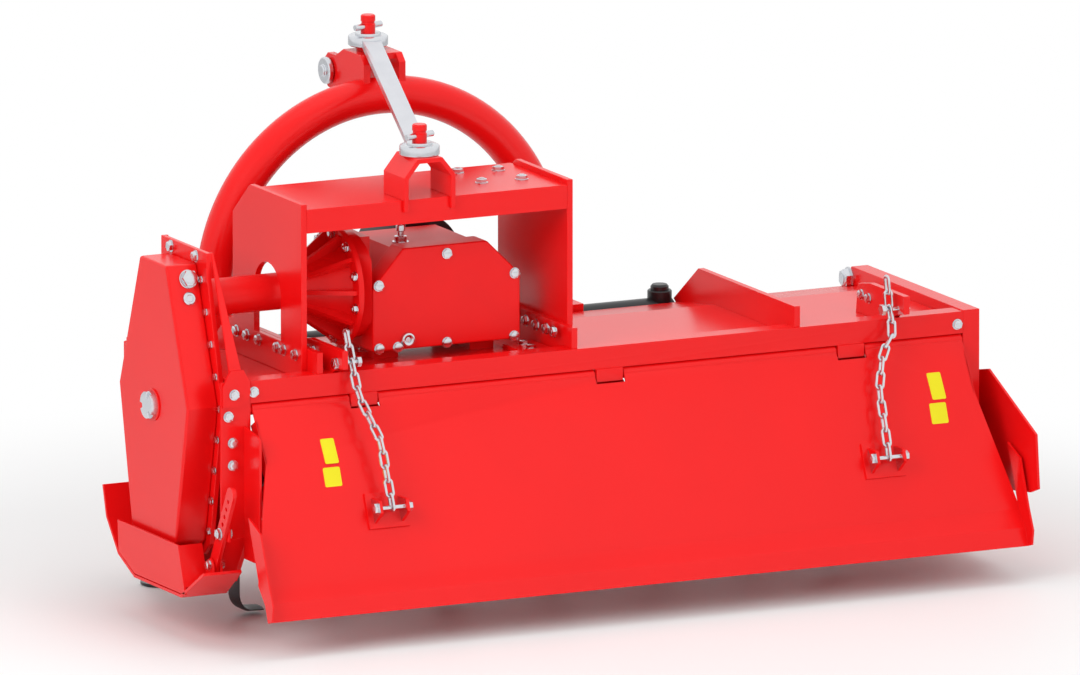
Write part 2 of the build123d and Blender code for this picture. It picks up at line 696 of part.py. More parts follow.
shank = [(54, -17), (110, -24), (175, -16), (214, 16), (196, 34), (54, 17)]
with BuildPart() as blades:
    for n in range(flange_count):
        for turn, face in ((1, flange_first + n * flange_step + flange_thick),
                           (-1, flange_first + n * flange_step - blade_thick)):
            if (n == 0 and turn < 0) or (n == flange_count - 1 and turn > 0):
                continue
            for k in range(blades_a_side):
                angle = -90 + n * 360 / 7 / 3 + k * 120 + (60 if turn < 0 else 0)
                c, s = cos(radians(angle)), sin(radians(angle))
                outline = [(rotor_y + r * c - t * s, rotor_z + r * s + t * c) for r, t in shank]
                side_profile(outline, face, blade_thick)
                tip = [(198, -8), (222, 10), (229, 24), (216, 22), (194, 0)]
                outline = [(rotor_y + r * c - t * s, rotor_z + r * s + t * c) for r, t in tip]
                start = face if turn > 0 else face + blade_thick - blade_width
                side_profile(outline, start, blade_width)
blades.part.label = "blades"
export_step(blades.part, "parts/blades.step")

# ---------------------------------------------------------------- tailboard

board_flare = 51.0
board_line = [(-2, -55), (-59, -150), (-141, -361), (-170, -392), (-182, -425)]
# turned-back flange at each end of the flared lower panel
board_wing = [(-94, -240), (-141, -361), (-170, -392), (-182, -425), (-196, -421), (-200, -392), (-181, -352),
              (-146, -262)]
with BuildPart() as tailboard:
    side_profile(from_beam(band(board_line, board_thick)), left_x - board_flare, frame_width + 2 * board_flare)
    with BuildSketch(Plane.XZ.offset(-beam_y - 40)):
        with BuildLine():
            Polyline((left_x + 3, beam_top - 40), (right_x - 3, beam_top - 40), (right_x - 3, beam_top - 150),
                     (right_x + board_flare, beam_top - 361), (right_x + board_flare, beam_top - 430),
                     (left_x - board_flare, beam_top - 430), (left_x - board_flare, beam_top - 361),
                     (left_x + 3, beam_top - 150), close=True)
        make_face()
    extrude(amount=260, both=True, mode=Mode.INTERSECT)
    for x in (left_x - board_flare, right_x + board_flare - board_thick):
        side_profile(from_beam(board_wing), x, board_thick)
    with BuildSketch(Plane.YZ.offset(left_x + 3)):
        with Locations((hinge_y, hinge_z)):
            RegularPolygon(hinge_tube_dia / 2 + 0.5, 12)
    extrude(amount=frame_width - 6)
    with BuildSketch(Plane.YZ.offset(left_x + 3)):
        with Locations((hinge_y, hinge_z)):
            Circle(hinge_rod_dia / 2 + 0.3)
    extrude(amount=frame_width - 6, mode=Mode.SUBTRACT)
    for place in tab_places:
        with BuildSketch(Plane.YZ.offset(left_x + place - tab_width / 2 - 3)):
            with Locations((hinge_y, hinge_z)):
                RegularPolygon(25, 8)
        extrude(amount=tab_width + 6, mode=Mode.SUBTRACT)
tailboard.part.label = "tailboard"
export_step(tailboard.part, "parts/tailboard.step")

# ---------------------------------------------------------------- chains

anchor = (beam_y - 10.0, beam_top + 20.0)
clevis = (beam_y - 124.0, beam_top - 240.0)
ear_gap = 50.0
ear_sheet = 6.0
bolt_head = 8.0
nut_dia = 22.0
bolt_run = link_width + 2 * link_clear       # of the anchor bolt beside its plate
# (side, upper bolt, lower bolt) from the left end plate
chains = [("left", 205.0, 235.0), ("right", 1338.0, 1280.0)]
board_crease = (beam_y + board_line[1][0], beam_top + board_line[1][1])
panel_run = hypot(141 - 59, 361 - 150)
panel_dir = (-(141 - 59) / panel_run, -(361 - 150) / panel_run)
panel_out = (panel_dir[1], -panel_dir[0])
for side, high, low in chains:
    plate_x = left_x + high + (-1 if side == "left" else 1) * (link_width / 2 + link_clear)
    outer_x = plate_x - rib_thick if side == "left" else plate_x
    bolt_x = plate_x - rib_thick - bolt_head if side == "left" else plate_x - bolt_run
    with BuildPart() as chain_bracket:
        side_profile(from_beam([(-35, 12), (-35, 47), (110, 47), (160, 38), (168, -deck_drop), (beam_depth, -deck_drop),
                                (beam_depth, 0), (8, 0), (-8, 8)]), outer_x, rib_thick)
        with BuildSketch(Plane.YZ.offset(bolt_x)):
            with Locations(anchor):
                RegularPolygon(chain_bolt_dia / 2, 10)
        extrude(amount=bolt_run + rib_thick + bolt_head)
        for x in (bolt_x, bolt_x + bolt_run + rib_thick):
            with BuildSketch(Plane.YZ.offset(x)):
                with Locations(anchor):
                    RegularPolygon(nut_dia / 2, 6)
            extrude(amount=bolt_head)
    chain_bracket.part.label = f"chain_bracket_{side}"
    export_step(chain_bracket.part, f"parts/chain_bracket_{side}.step")

with BuildPart() as board_clevises:
    base = (clevis[0] - board_crease[0]) * panel_out[0] + (clevis[1] - board_crease[1]) * panel_out[1]
    for side, high, low in chains:
        for x in (left_x + low - ear_gap / 2 - ear_sheet, left_x + low + ear_gap / 2):
            corners = [(-26, -base), (26, -base), (12, 12), (-12, 12)]
            side_profile([(clevis[0] + a * panel_dir[0] + b * panel_out[0],
                           clevis[1] + a * panel_dir[1] + b * panel_out[1]) for a, b in corners],
                         x, ear_sheet)
        corners = [(-34, -base), (34, -base), (34, -base + 5), (-34, -base + 5)]
        side_profile([(clevis[0] + a * panel_dir[0] + b * panel_out[0],
                       clevis[1] + a * panel_dir[1] + b * panel_out[1]) for a, b in corners],
                     left_x + low - 42, 84)
        with BuildSketch(Plane.YZ.offset(left_x + low - ear_gap / 2 - ear_sheet - 8)):
            with Locations(clevis):
                RegularPolygon(chain_bolt_dia / 2, 10)
        extrude(amount=ear_gap + 2 * ear_sheet + 16)
board_clevises.part.label = "board_clevises"
export_step(board_clevises.part, "parts/board_clevises.step")


def link(centre, along, across, inner_length, width):
    """A chain link: a ring with pointed-arc ends, its edges eased, lying in the plane of its two axes."""
    plane = Plane(origin=centre, x_dir=along, z_dir=along.cross(across))
    half = inner_length / 2
    ring = []
    for grow, half_width in ((chain_wire, width / 2), (0, width / 2 - chain_wire)):
        reach = half + grow
        bend = half_width * 0.9
        corner = half_width * 0.42
        ring.append([(-reach, -corner), (-reach + bend * 0.45, -half_width), (reach - bend * 0.45, -half_width),
                     (reach, -corner), (reach, corner), (reach - bend * 0.45, half_width),
                     (-reach + bend * 0.45, half_width), (-reach, corner)])
    with BuildSketch(plane.offset(-chain_wire / 2)) as shape:
        with BuildLine():
            Polyline(*ring[0], close=True)
        make_face()
        with BuildLine():
            Polyline(*ring[1], close=True)
        make_face(mode=Mode.SUBTRACT)
    extrude(shape.sketch, amount=chain_wire)


bolt_play = 1.5
bolt_seat = chain_bolt_dia / 2 + chain_wire + 3  # inner end of the anchor link above the bolt
link_count = 8                                  # ordinary links from the anchor link down
spare_links = 2                                 # stand straight up from the anchor
for side, high, low in chains:
    start = Vector(left_x + high, *anchor)
    end = Vector(left_x + low, *clevis)
    along = (end - start).normalized()
    flat = Vector(1, 0, 0)
    edge = along.cross(flat).normalized()
    upright = Vector(0, along.Y, along.Z).normalized()
    with BuildPart() as chain:
        for k in range(-spare_links, link_count):
            run = upright if k < 0 else along
            centre = start + run * (chain_pitch / 2 - bolt_seat + k * chain_pitch)
            link(centre, run, edge if k % 2 == 0 else run.cross(edge), chain_pitch, link_width)
        top_inner = link_count * chain_pitch - bolt_seat
        bottom_inner = (end - start).length + chain_bolt_dia / 2 + bolt_play
        link(start + along * ((top_inner + bottom_inner) / 2), along, edge, bottom_inner - top_inner, 28.0)
    chain.part.label = f"chain_{side}"
    export_step(chain.part, f"parts/chain_{side}.step")

# ---------------------------------------------------------------- parking legs

leg_top = beam_top - 9.0
for side, place in zip(("left", "right"), stand_places):
    with BuildPart() as stand:
        with BuildSketch(Plane.XY):
            with Locations((left_x + place, bar_y)):
                RegularPolygon(foot_dia / 2, tube_sides)
        extrude(amount=foot_thick)
        with BuildSketch(Plane.XY.offset(foot_thick)):
            with Locations((left_x + place, bar_y)):
                Circle(leg_dia / 2)
        extrude(amount=leg_top - foot_thick)
    stand.part.label = f"stand_{side}"
    export_step(stand.part, f"parts/stand_{side}.step")
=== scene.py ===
import bpy
import bmesh
from math import atan2, cos, hypot, pi, radians, sin
from mathutils import Matrix, Vector


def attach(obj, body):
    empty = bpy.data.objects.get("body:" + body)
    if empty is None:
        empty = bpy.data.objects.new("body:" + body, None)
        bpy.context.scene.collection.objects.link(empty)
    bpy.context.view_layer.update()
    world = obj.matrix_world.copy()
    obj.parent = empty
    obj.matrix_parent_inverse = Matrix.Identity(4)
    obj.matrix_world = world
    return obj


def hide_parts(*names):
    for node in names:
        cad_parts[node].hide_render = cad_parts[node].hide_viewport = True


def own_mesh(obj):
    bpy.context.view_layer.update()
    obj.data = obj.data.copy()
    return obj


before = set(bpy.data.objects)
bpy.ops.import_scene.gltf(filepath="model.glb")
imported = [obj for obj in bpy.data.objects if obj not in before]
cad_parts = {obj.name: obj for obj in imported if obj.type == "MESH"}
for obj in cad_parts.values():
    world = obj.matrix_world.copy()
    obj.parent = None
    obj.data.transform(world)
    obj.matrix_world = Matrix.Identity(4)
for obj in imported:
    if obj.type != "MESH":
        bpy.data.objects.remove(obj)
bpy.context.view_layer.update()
print("frame loaded,", len(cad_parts), "solids")

scene = bpy.context.scene
mm = 0.001
left, right = Vector((-1, 0, 0)), Vector((1, 0, 0))
rear, forward = Vector((0, -1, 0)), Vector((0, 1, 0))
up = Vector((0, 0, 1))

# where the main lines of the machine lie, in metres
place = {"leftX": -0.723, "beamY": -0.242, "beamTop": 0.495, "rotorY": -0.046, "rotorZ": 0.230,
         "hitchX": -0.195, "barY": 0.288, "barZ": 0.430, "archZ": 0.5545}


def at(x, y, z):
    # Millimetres from the left end plate, the rear beam's rear face and its top, to metres in the frame.
    return Vector((place["leftX"] + x * mm, place["beamY"] + y * mm, place["beamTop"] + z * mm))


# materials

def linear(colour):
    parts = [int(colour[i:i + 2], 16) / 255 for i in (1, 3, 5)]
    return tuple(c / 12.92 if c <= 0.04045 else ((c + 0.055) / 1.055) ** 2.4 for c in parts) + (1.0,)


def addNode(tree, kind, settings=None, links=None):
    # A socket goes by its name or its number, any other setting by the property's name.
    # A link comes from a socket, or from a node's first one.
    node = tree.nodes.new(kind)
    for key, value in (settings or {}).items():
        if isinstance(key, str) and key not in node.inputs:
            setattr(node, key, value)
        else:
            node.inputs[key].default_value = value
    for socket, source in (links or {}).items():
        tree.links.new(source.outputs[0] if isinstance(source, bpy.types.Node) else source, node.inputs[socket])
    return node


def newMaterial(name):
    material = bpy.data.materials.new(name)
    material.use_nodes = True
    tree = material.node_tree
    tree.nodes.clear()
    return material, tree


# One finish: two close colours in soft patches, a fine grain for bump, roughness that wanders a little.
# A grain under one millimetre would be lost at this size, so it is drawn at one to three.
def surface(name, light, dark, patchMm, grainMm, bumpMm, metallic=0.0, rough=(0.2, 0.3), specular=0.5,
            speckle=None):
    material, tree = newMaterial(name)
    spot = addNode(tree, "ShaderNodeTexCoord").outputs["Object"]
    patch = addNode(tree, "ShaderNodeTexNoise", {"Scale": 1000 / patchMm, "Detail": 3.0}, {"Vector": spot})
    grain = addNode(tree, "ShaderNodeTexNoise", {"Scale": 1000 / grainMm, "Detail": 2.0}, {"Vector": spot})
    tone = addNode(tree, "ShaderNodeMix", {"data_type": "RGBA", 6: linear(dark), 7: linear(light)},
                   {"Factor": patch})
    colour = tone.outputs[2]
    if speckle:
        spots = addNode(tree, "ShaderNodeTexNoise", {"Scale": 1000 / speckle["sizeMm"], "Detail": 4.0},
                        {"Vector": spot})
        mask = addNode(tree, "ShaderNodeMapRange", {"From Min": speckle["from"], "From Max": speckle["to"]},
                       {"Value": spots})
        second = addNode(tree, "ShaderNodeMix", {"data_type": "RGBA", 7: linear(speckle["colour"])},
                         {"Factor": mask, 6: colour})
        colour = second.outputs[2]
    sheen = addNode(tree, "ShaderNodeMapRange", {"To Min": rough[0], "To Max": rough[1]}, {"Value": patch})
    bump = addNode(tree, "ShaderNodeBump", {"Strength": 1.0, "Distance": bumpMm * mm}, {"Height": grain})
    shader = addNode(tree, "ShaderNodeBsdfPrincipled", {"Metallic": metallic, "Specular IOR Level": specular},
                     {"Base Color": colour, "Roughness": sheen,
                      "Normal": bump})
    addNode(tree, "ShaderNodeOutputMaterial", links={"Surface": shader})
    return material


# powder-coated sheet steel: one even red with a soft gloss, and a faint orange peel in the reflections
powderRed = surface("powderCoatRed", "#f01315", "#e61012", 220, 3.0, 0.008, rough=(0.2, 0.26), specular=0.32)
# sprayed cast iron: the same red over sand-cast skin, so it is rougher and breaks the light up
castRed = surface("sprayedCastIron", "#f01416", "#e41113", 70, 4.0, 0.04, rough=(0.3, 0.4), specular=0.3)
# bright zinc plate: pale silver, a touch uneven from the bath
zinc = surface("brightZincPlate", "#e4e6ea", "#d0d3d9", 24, 1.6, 0.002, metallic=1.0, rough=(0.18, 0.28))
# rolled flat bar under zinc: a duller, milkier silver than the turned parts
zincBar = surface("zincFlatBar", "#e6e7ec", "#d6d8de", 40, 2.0, 0.003, metallic=1.0, rough=(0.26, 0.36))
# semi-gloss black enamel on ground bar
blackEnamel = surface("blackEnamel", "#232325", "#19191b", 50, 1.8, 0.015, rough=(0.26, 0.38))
# forged boron steel straight from the furnace: dark scale with brown bloom
forged = surface("forgedBoronSteel", "#4a4746", "#36343a", 30, 2.5, 0.08, metallic=0.75, rough=(0.4, 0.58),
                 speckle={"sizeMm": 18, "from": 0.6, "to": 0.75, "colour": "#5a4334"})
# injection-moulded polypropylene: near black, soft sheen, fine spark texture
polypropylene = surface("mouldedPolypropylene", "#1d1d1f", "#151517", 80, 1.4, 0.03, rough=(0.42, 0.52))
# vinyl film: flat yellow, slight gloss
yellowVinyl = surface("yellowVinyl", "#ece11f", "#e4d916", 40, 1.5, 0.003, rough=(0.3, 0.36), specular=0.3)
# painted shade: a near-black finish that stands in for the shadow inside a drilled hole
paintedHoleShade = surface("holeShadow", "#141214", "#0e0c0e", 10, 2.0, 0.01, rough=(0.7, 0.8))
# machined shaft with a film of grease: turning marks, so the finest grain of all
machined = surface("machinedSteel", "#9a9ca0", "#85878c", 12, 0.9, 0.01, metallic=1.0, rough=(0.22, 0.32))
print("materials made")


# mesh helpers

def linked(name, data):
    thing = bpy.data.objects.new(name, data)
    scene.collection.objects.link(thing)
    return thing


def newPiece(name, data, material, sharpAngle=35):
    data.materials.clear()
    data.materials.append(material)
    data.shade_smooth()
    data.set_sharp_from_angle(angle=radians(sharpAngle))
    return linked(name, data)


def settle(piece, body, stands=()):
    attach(piece, body)
    if stands:
        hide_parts(*stands)
    return piece


def toMesh(name, shape):
    data = bpy.data.meshes.new(name)
    shape.to_mesh(data)
    shape.free()
    return data


def builtMesh(name, build):
    shape = bmesh.new()
    build(shape)
    bmesh.ops.recalc_face_normals(shape, faces=shape.faces)
    return toMesh(name, shape)


def fromBmesh(name, build, material, sharpAngle=35):
    return newPiece(name, builtMesh(name, build), material, sharpAngle)


def circle(steps, radius, begin=0.0):
    turns = [begin + 2 * pi * k / steps for k in range(steps)]
    return [(radius * cos(turn), radius * sin(turn)) for turn in turns]


def skin(shape, rings):
    # Walls between rings with the same number of points, and a lid on the first and the last.
    for low, high in zip(rings, rings[1:]):
        for k in range(len(low)):
            after = (k + 1) % len(low)
            shape.faces.new((low[k], low[after], high[after], high[k]))
    shape.faces.new(rings[0])
    shape.faces.new(rings[-1])


def evaluated(piece):
    # The piece's mesh with its modifiers applied.
    bpy.context.view_layer.update()
    data = bpy.data.meshes.new_from_object(piece.evaluated_get(bpy.context.evaluated_depsgraph_get()))
    piece.modifiers.clear()
    return data


def easeEdges(piece, edgeMm):
    ease = piece.modifiers.new("ease", "BEVEL")
    ease.width = edgeMm * mm
    ease.segments = 2
    return ease


# bolts that are part of a bracket: their axis along X, by Y and Z from the beam, and how far out they reach
plated = {"chain_bracket_left": (-10, 20, 13), "chain_bracket_right": (-10, 20, 13),
          "board_clevises": (-124, -240, 5.5)}


def rounded(node, body, material, edgeMm):
    # A CAD plate with its edges eased, as the bent and deburred sheet has.
    shape = bmesh.new()
    shape.from_mesh(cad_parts[node].data)
    bmesh.ops.remove_doubles(shape, verts=shape.verts, dist=2e-5)
    bmesh.ops.dissolve_limit(shape, angle_limit=radians(0.6), verts=shape.verts, edges=shape.edges)
    flat = toMesh(node + "Flat", shape)
    piece = newPiece(node + "Eased", flat, material)
    ease = easeEdges(piece, edgeMm)
    ease.limit_method = "ANGLE"
    ease.angle_limit = radians(32)
    ease.harden_normals = True
    data = piece.data = evaluated(piece)
    data.name = node + "Eased"
    bpy.data.meshes.remove(flat)
    if node in plated:
        y, z, reach = plated[node]
        axle = at(0, y, z)
        data.materials.append(zinc)
        for face in data.polygons:
            if hypot(face.center.y - axle.y, face.center.z - axle.z) < reach * mm:
                face.material_index = 1
    return settle(piece, body, (node,))


def turned(name, profile, centre, axis, material, steps=40):
    # Revolves (radius, height) pairs in mm about an axis through centre.
    side = axis.orthogonal().normalized()
    other = axis.cross(side)

    def build(shape):
        rings = []
        for radius, height in profile:
            foot = centre + axis * height * mm
            spots = circle(steps, 1) if radius > 0 else [(0, 0)]
            rings.append([shape.verts.new(foot + (side * u + other * v) * radius * mm) for u, v in spots])
        for low, high in zip(rings, rings[1:]):
            for k in range(steps):
                corners = [low[k % len(low)], low[(k + 1) % steps % len(low)],
                           high[(k + 1) % steps % len(high)], high[k % len(high)]]
                unique = [v for i, v in enumerate(corners) if v not in corners[:i]]
                if len(unique) > 2:
                    shape.faces.new(unique)

    return fromBmesh(name, build, material, 30)


def joined(name, parts):
    # Merges finished meshes of one body into one.
    shape = bmesh.new()
    materials = []
    for part in parts:
        own = part.data.materials[0]
        if own not in materials:
            materials.append(own)
        start = len(shape.faces)
        shape.from_mesh(part.data)
        shape.faces.ensure_lookup_table()
        for face in shape.faces[start:]:
            face.material_index = materials.index(own)
    data = toMesh(name, shape)
    for part in parts:
        bpy.data.objects.remove(part)
    for own in materials:
        data.materials.append(own)
    return linked(name, data)


def pieces(name, body, parts, stands=()):
    return settle(joined(name, parts), body, stands)


def sweepTube(name, points, radiusMm, material, steps=32):
    # A round tube along points, its ends closed.
    def build(shape):
        rings = []
        last = None
        for i, point in enumerate(points):
            before = points[max(i - 1, 0)]
            after = points[min(i + 1, len(points) - 1)]
            heading = (after - before).normalized()
            side = last - heading * last.dot(heading) if last else heading.orthogonal()
            side.normalize()
            last = side
            other = heading.cross(side)
            rings.append([shape.verts.new(point + (side * u + other * v) * radiusMm * mm)
                          for u, v in circle(steps, 1)])
        skin(shape, rings)

    return fromBmesh(name, build, material)


# fasteners by geometry nodes

def newTree(name, sockets):
    tree = bpy.data.node_groups.new(name, "GeometryNodeTree")
    for label, kind in {"Geometry": "Geometry", **sockets, "Material": "Material"}.items():
        tree.interface.new_socket(name=label, in_out="INPUT", socket_type="NodeSocket" + kind)
    tree.interface.new_socket(name="Geometry", in_out="OUTPUT", socket_type="NodeSocketGeometry")
    return tree, addNode(tree, "NodeGroupInput").outputs


def finishTree(tree, given, shape, rotation, scale=None):
    # Puts the shape on every point, turned and sized, as one real mesh in one material.
    links = {"Points": given["Geometry"], "Instance": shape, "Rotation": rotation}
    if scale is not None:
        links["Scale"] = scale
    spread = addNode(tree, "GeometryNodeInstanceOnPoints", links=links)
    real = addNode(tree, "GeometryNodeRealizeInstances", links={"Geometry": spread})
    painted = addNode(tree, "GeometryNodeSetMaterial", links={"Geometry": real, "Material": given["Material"]})
    addNode(tree, "NodeGroupOutput", links={"Geometry": painted})
    return tree


def runTree(name, tree, base, values, material):
    # Runs a tree on a base mesh and gives back a plain mesh piece.
    holder = linked(name, base)
    modifier = holder.modifiers.new("nodes", "NODES")
    modifier.node_group = tree
    ids = {item.name: item.identifier for item in tree.interface.items_tree if item.in_out == "INPUT"}
    for label, value in {**values, "Material": material}.items():
        modifier[ids[label]] = value
    data = evaluated(holder)
    bpy.data.objects.remove(holder)
    return newPiece(name, data, material, 30)


def pointMesh(rows, fields):
    # A bare point for each row: its place first, then one value for each named field.
    data = bpy.data.meshes.new("points")
    data.from_pydata([row[0] for row in rows], [], [])
    for column, (field, kind) in enumerate(fields.items(), 1):
        values = data.attributes.new(field, kind, "POINT").data
        for value, row in zip(values, rows):
            setattr(value, "vector" if kind == "FLOAT_VECTOR" else "value", row[column])
    return data


def boltTree():
    # All in shares of half the width across corners, which each point gives as its size.
    washerDeep, crownDeep, oneFlat = 0.16, 0.1, 1.05
    tree, given = newTree("hexBolts", {"Head Height": "Float", "Washer": "Float",
                                               "Stud": "Float", "Seed": "Int"})
    washer = addNode(tree, "GeometryNodeMeshCylinder", {"Vertices": 24, "Depth": washerDeep},
                     {"Radius": given["Washer"]})
    head = addNode(tree, "GeometryNodeMeshCylinder", {"Vertices": 6, "Radius": 1.0},
                   {"Depth": given["Head Height"]})
    crown = addNode(tree, "GeometryNodeMeshCone", {"Vertices": 24, "Radius Top": 0.7, "Radius Bottom": 0.88,
                                                   "Depth": crownDeep})
    stud = addNode(tree, "GeometryNodeMeshCylinder", {"Vertices": 14, "Radius": 0.52}, {"Depth": given["Stud"]})
    middle = addNode(tree, "ShaderNodeMath", {"operation": "MULTIPLY_ADD", 1: 0.5, 2: washerDeep},
                     {0: given["Head Height"]})
    top = addNode(tree, "ShaderNodeMath", {"operation": "ADD", 1: washerDeep}, {0: given["Head Height"]})
    washerSpot = addNode(tree, "ShaderNodeCombineXYZ", {"Z": washerDeep / 2})
    headSpot = addNode(tree, "ShaderNodeCombineXYZ", links={"Z": middle})
    topSpot = addNode(tree, "ShaderNodeCombineXYZ", links={"Z": top})
    bolt = addNode(tree, "GeometryNodeJoinGeometry")
    for part, spot in ((washer, washerSpot), (head, headSpot), (crown, topSpot), (stud, topSpot)):
        lifted = addNode(tree, "GeometryNodeTransform", links={"Geometry": part, "Translation": spot})
        tree.links.new(lifted.outputs["Geometry"], bolt.inputs["Geometry"])
    axis = addNode(tree, "GeometryNodeInputNamedAttribute", {"data_type": "FLOAT_VECTOR", "Name": "axis"})
    size = addNode(tree, "GeometryNodeInputNamedAttribute", {"data_type": "FLOAT", "Name": "size"})
    aim = addNode(tree, "FunctionNodeAlignRotationToVector", {"axis": "Z"}, {"Vector": axis})
    spin = addNode(tree, "FunctionNodeRandomValue", {"data_type": "FLOAT", 3: oneFlat}, {"Seed": given["Seed"]})
    twist = addNode(tree, "ShaderNodeCombineXYZ", links={"Z": spin.outputs[1]})
    asTurn = addNode(tree, "FunctionNodeEulerToRotation", links={"Euler": twist})
    full = addNode(tree, "FunctionNodeRotateRotation", {"rotation_space": "LOCAL"},
                   {"Rotation": aim, "Rotate By": asTurn})
    return finishTree(tree, given, bolt, full, size)


hexBolts = boltTree()


def bolts(name, body, rows, headHeight=0.62, washer=1.18, stud=0.22, seed=3):
    # rows: (position, direction it faces, half its width across corners in mm)
    points = pointMesh([(spot, axis, half * mm) for spot, axis, half in rows],
                       {"axis": "FLOAT_VECTOR", "size": "FLOAT"})
    piece = runTree(name, hexBolts, points,
                    {"Head Height": headHeight, "Washer": washer, "Stud": stud, "Seed": seed}, zinc)
    return settle(piece, body)


# sheet and plate parts, edges eased: body, finish, and the edge radius in mm of each plate
plates = [
    ("frame", powderRed, {"deck": 1.2, "rear_beam": 1, "end_plate_left": 1, "end_plate_right": 1,
                          "side_wing_left": 1, "side_wing_right": 1, "deck_ribs": 1, "cradle_side_left": 1.5,
                          "cradle_side_right": 1.5, "cradle_top": 1, "strut_bracket": 1, "top_yoke": 2,
                          "lower_hitch_left": 2, "lower_hitch_right": 2, "gear_case": 5, "case_mount": 1.5,
                          "skid_right": 1, "case_guard": 1, "chain_bracket_left": 1, "chain_bracket_right": 1}),
    ("frame", castRed, {"gearbox_cover": 4, "gearbox": 4, "bearing_right": 1}),
    ("tailboard", powderRed, {"tailboard": 0.8, "board_clevises": 0.8}),
]
for body, material, nodes in plates:
    for node, edgeMm in nodes.items():
        rounded(node, body, material, edgeMm)

# the axle housing's barrel is cast flat where it passes the side of the cover
barrelFlat = {"Y": 112, "end": 309, "slope": 0.9}
for vertex in bpy.data.objects["gearboxEased"].data.vertices:
    past = barrelFlat["end"] - (vertex.co.x - place["leftX"]) / mm
    if past > 0:
        vertex.co.y = max(vertex.co.y, at(0, barrelFlat["Y"] + past * barrelFlat["slope"], 0).y)
print("plates eased")

# the hinge rod keeps its solid and is painted over with the board
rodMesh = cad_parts["hinge_rod"].data
rodMesh.materials.clear()
rodMesh.materials.append(powderRed)

# hitch arch: a half ring on straight legs that end at the slide bar
arch = {"radius": 350, "tube": 72, "steps": 64, "legTop": 0.5, "sides": 48}
hitch = Vector((place["hitchX"], place["barY"], 0))
reach = arch["radius"] * mm
legs = [[hitch + Vector((side * reach, 0, z)) for z in (place["barZ"], arch["legTop"])] for side in (-1, 1)]
bow = [hitch + Vector((reach * cos(turn), 0, place["archZ"] + reach * sin(turn)))
       for turn in (pi - pi * k / arch["steps"] for k in range(arch["steps"] + 1))]
settle(sweepTube("archTube", legs[0] + bow + legs[1][::-1], arch["tube"] / 2, powderRed, arch["sides"]),
       "frame", ("hitch_arch",))
print("arch made")

# side gear case: half widths and heights of its rim from the top, and the bolts round it
case = {"middleY": 196, "face": -110, "plate": -45, "idlerZ": -70.5, "rim": 8, "boltHalf": 6.5, "pitch": 62,
        "firstBolt": 30, "sections": [(58, 205), (150, -54), (96, -319)],
        "top": {"Z": 218, "Y": (-54, 54), "half": 10}, "foot": {"Z": -347, "Y": (-40, 0, 40), "half": 6.5}}
rims = []
for sign in (-1, 1):
    line = [Vector((case["middleY"] + sign * (wide + case["rim"]), z)) for wide, z in case["sections"]]
    travelled = case["firstBolt"]
    for first, second in zip(line, line[1:]):
        length = (second - first).length
        while travelled < length:
            spot = first.lerp(second, travelled / length)
            rims.append((at(case["plate"], spot.x, spot.y), left, case["boltHalf"]))
            travelled += case["pitch"]
        travelled -= length
for row in (case["top"], case["foot"]):
    rims += [(at(case["plate"], case["middleY"] + y, row["Z"]), left, row["half"]) for y in row["Y"]]
bolts("caseBolts", "frame", rims)

# plugs in the case's upper rear bevel, which faces along fall
plugs = {"fall": (-259, 92), "level": (-73, 116, 143), "filler": (-69, 128.5, 178), "fillerHalf": 16,
         "washerUp": 0.003,
         "levelShape": [(0, 5), (6, 5), (7, 6.5), (10.5, 6.5), (12.5, 4.5), (12.5, 0), (14, 0), (14, -3),
                        (0, -3)],
         "washerShape": [(0, 3), (17, 3), (18, 2), (18, -3), (0, -3)]}
fall = Vector((0, *plugs["fall"])).normalized()
pieces("levelPlugs", "frame",
       [turned("levelPlug", plugs["levelShape"], at(*plugs["level"]), fall, zinc),
        turned("plugWasher", plugs["washerShape"], at(*plugs["filler"]), fall, zinc)])
bolts("fillerPlug", "frame", [(at(*plugs["filler"]) + fall * plugs["washerUp"], fall, plugs["fillerHalf"])],
      headHeight=0.55, washer=1.05, stud=0.1)

# left skid, bent from sheet, and the perforated bar that sets its depth
skid = {"line": [(389, -259), (373, -318), (321, -380), (249, -412), (44, -412), (-55, -352)], "left": -125,
        "right": [-10, -10, -10, -10, -30, -45], "sheet": 6, "ease": 0.9}
depthBar = {"x": -68, "thick": 8, "half": 14, "top": (-58, -201), "foot": (18, -351),
            "firstHole": 16, "pitch": 18, "holes": 4, "holeRadius": 4.6,
            "upperBolt": 92, "upperHalf": 10, "lowerBolt": 165, "lowerHalf": 9,
            "tab": (17, -352), "tabThick": 5, "tabOut": 8, "flangeOut": 7,
            "tabShape": [(-14, -32), (14, -49), (14, 4), (9, 12), (0, 16), (-9, 12), (-14, 4)],
            "flangeShape": [(-18, -13), (10, -13), (14, -6), (14, 6), (10, 13), (-18, 13)]}


def bentSheet(shape):
    line, rows = skid["line"], []
    ups = [Vector((z1 - z0, y0 - y1)).normalized() for (y0, z0), (y1, z1) in zip(line, line[1:])]
    for (y, z), edge, first, second in zip(line, skid["right"], ups[:1] + ups, ups + ups[-1:]):
        lift = (first + second) / (1 + first.dot(second)) * skid["sheet"]
        rows.append([shape.verts.new(at(x, y + lift.x * side, z + lift.y * side))
                     for x, side in ((skid["left"], 0), (edge, 0), (edge, 1), (skid["left"], 1))])
    skin(shape, rows)


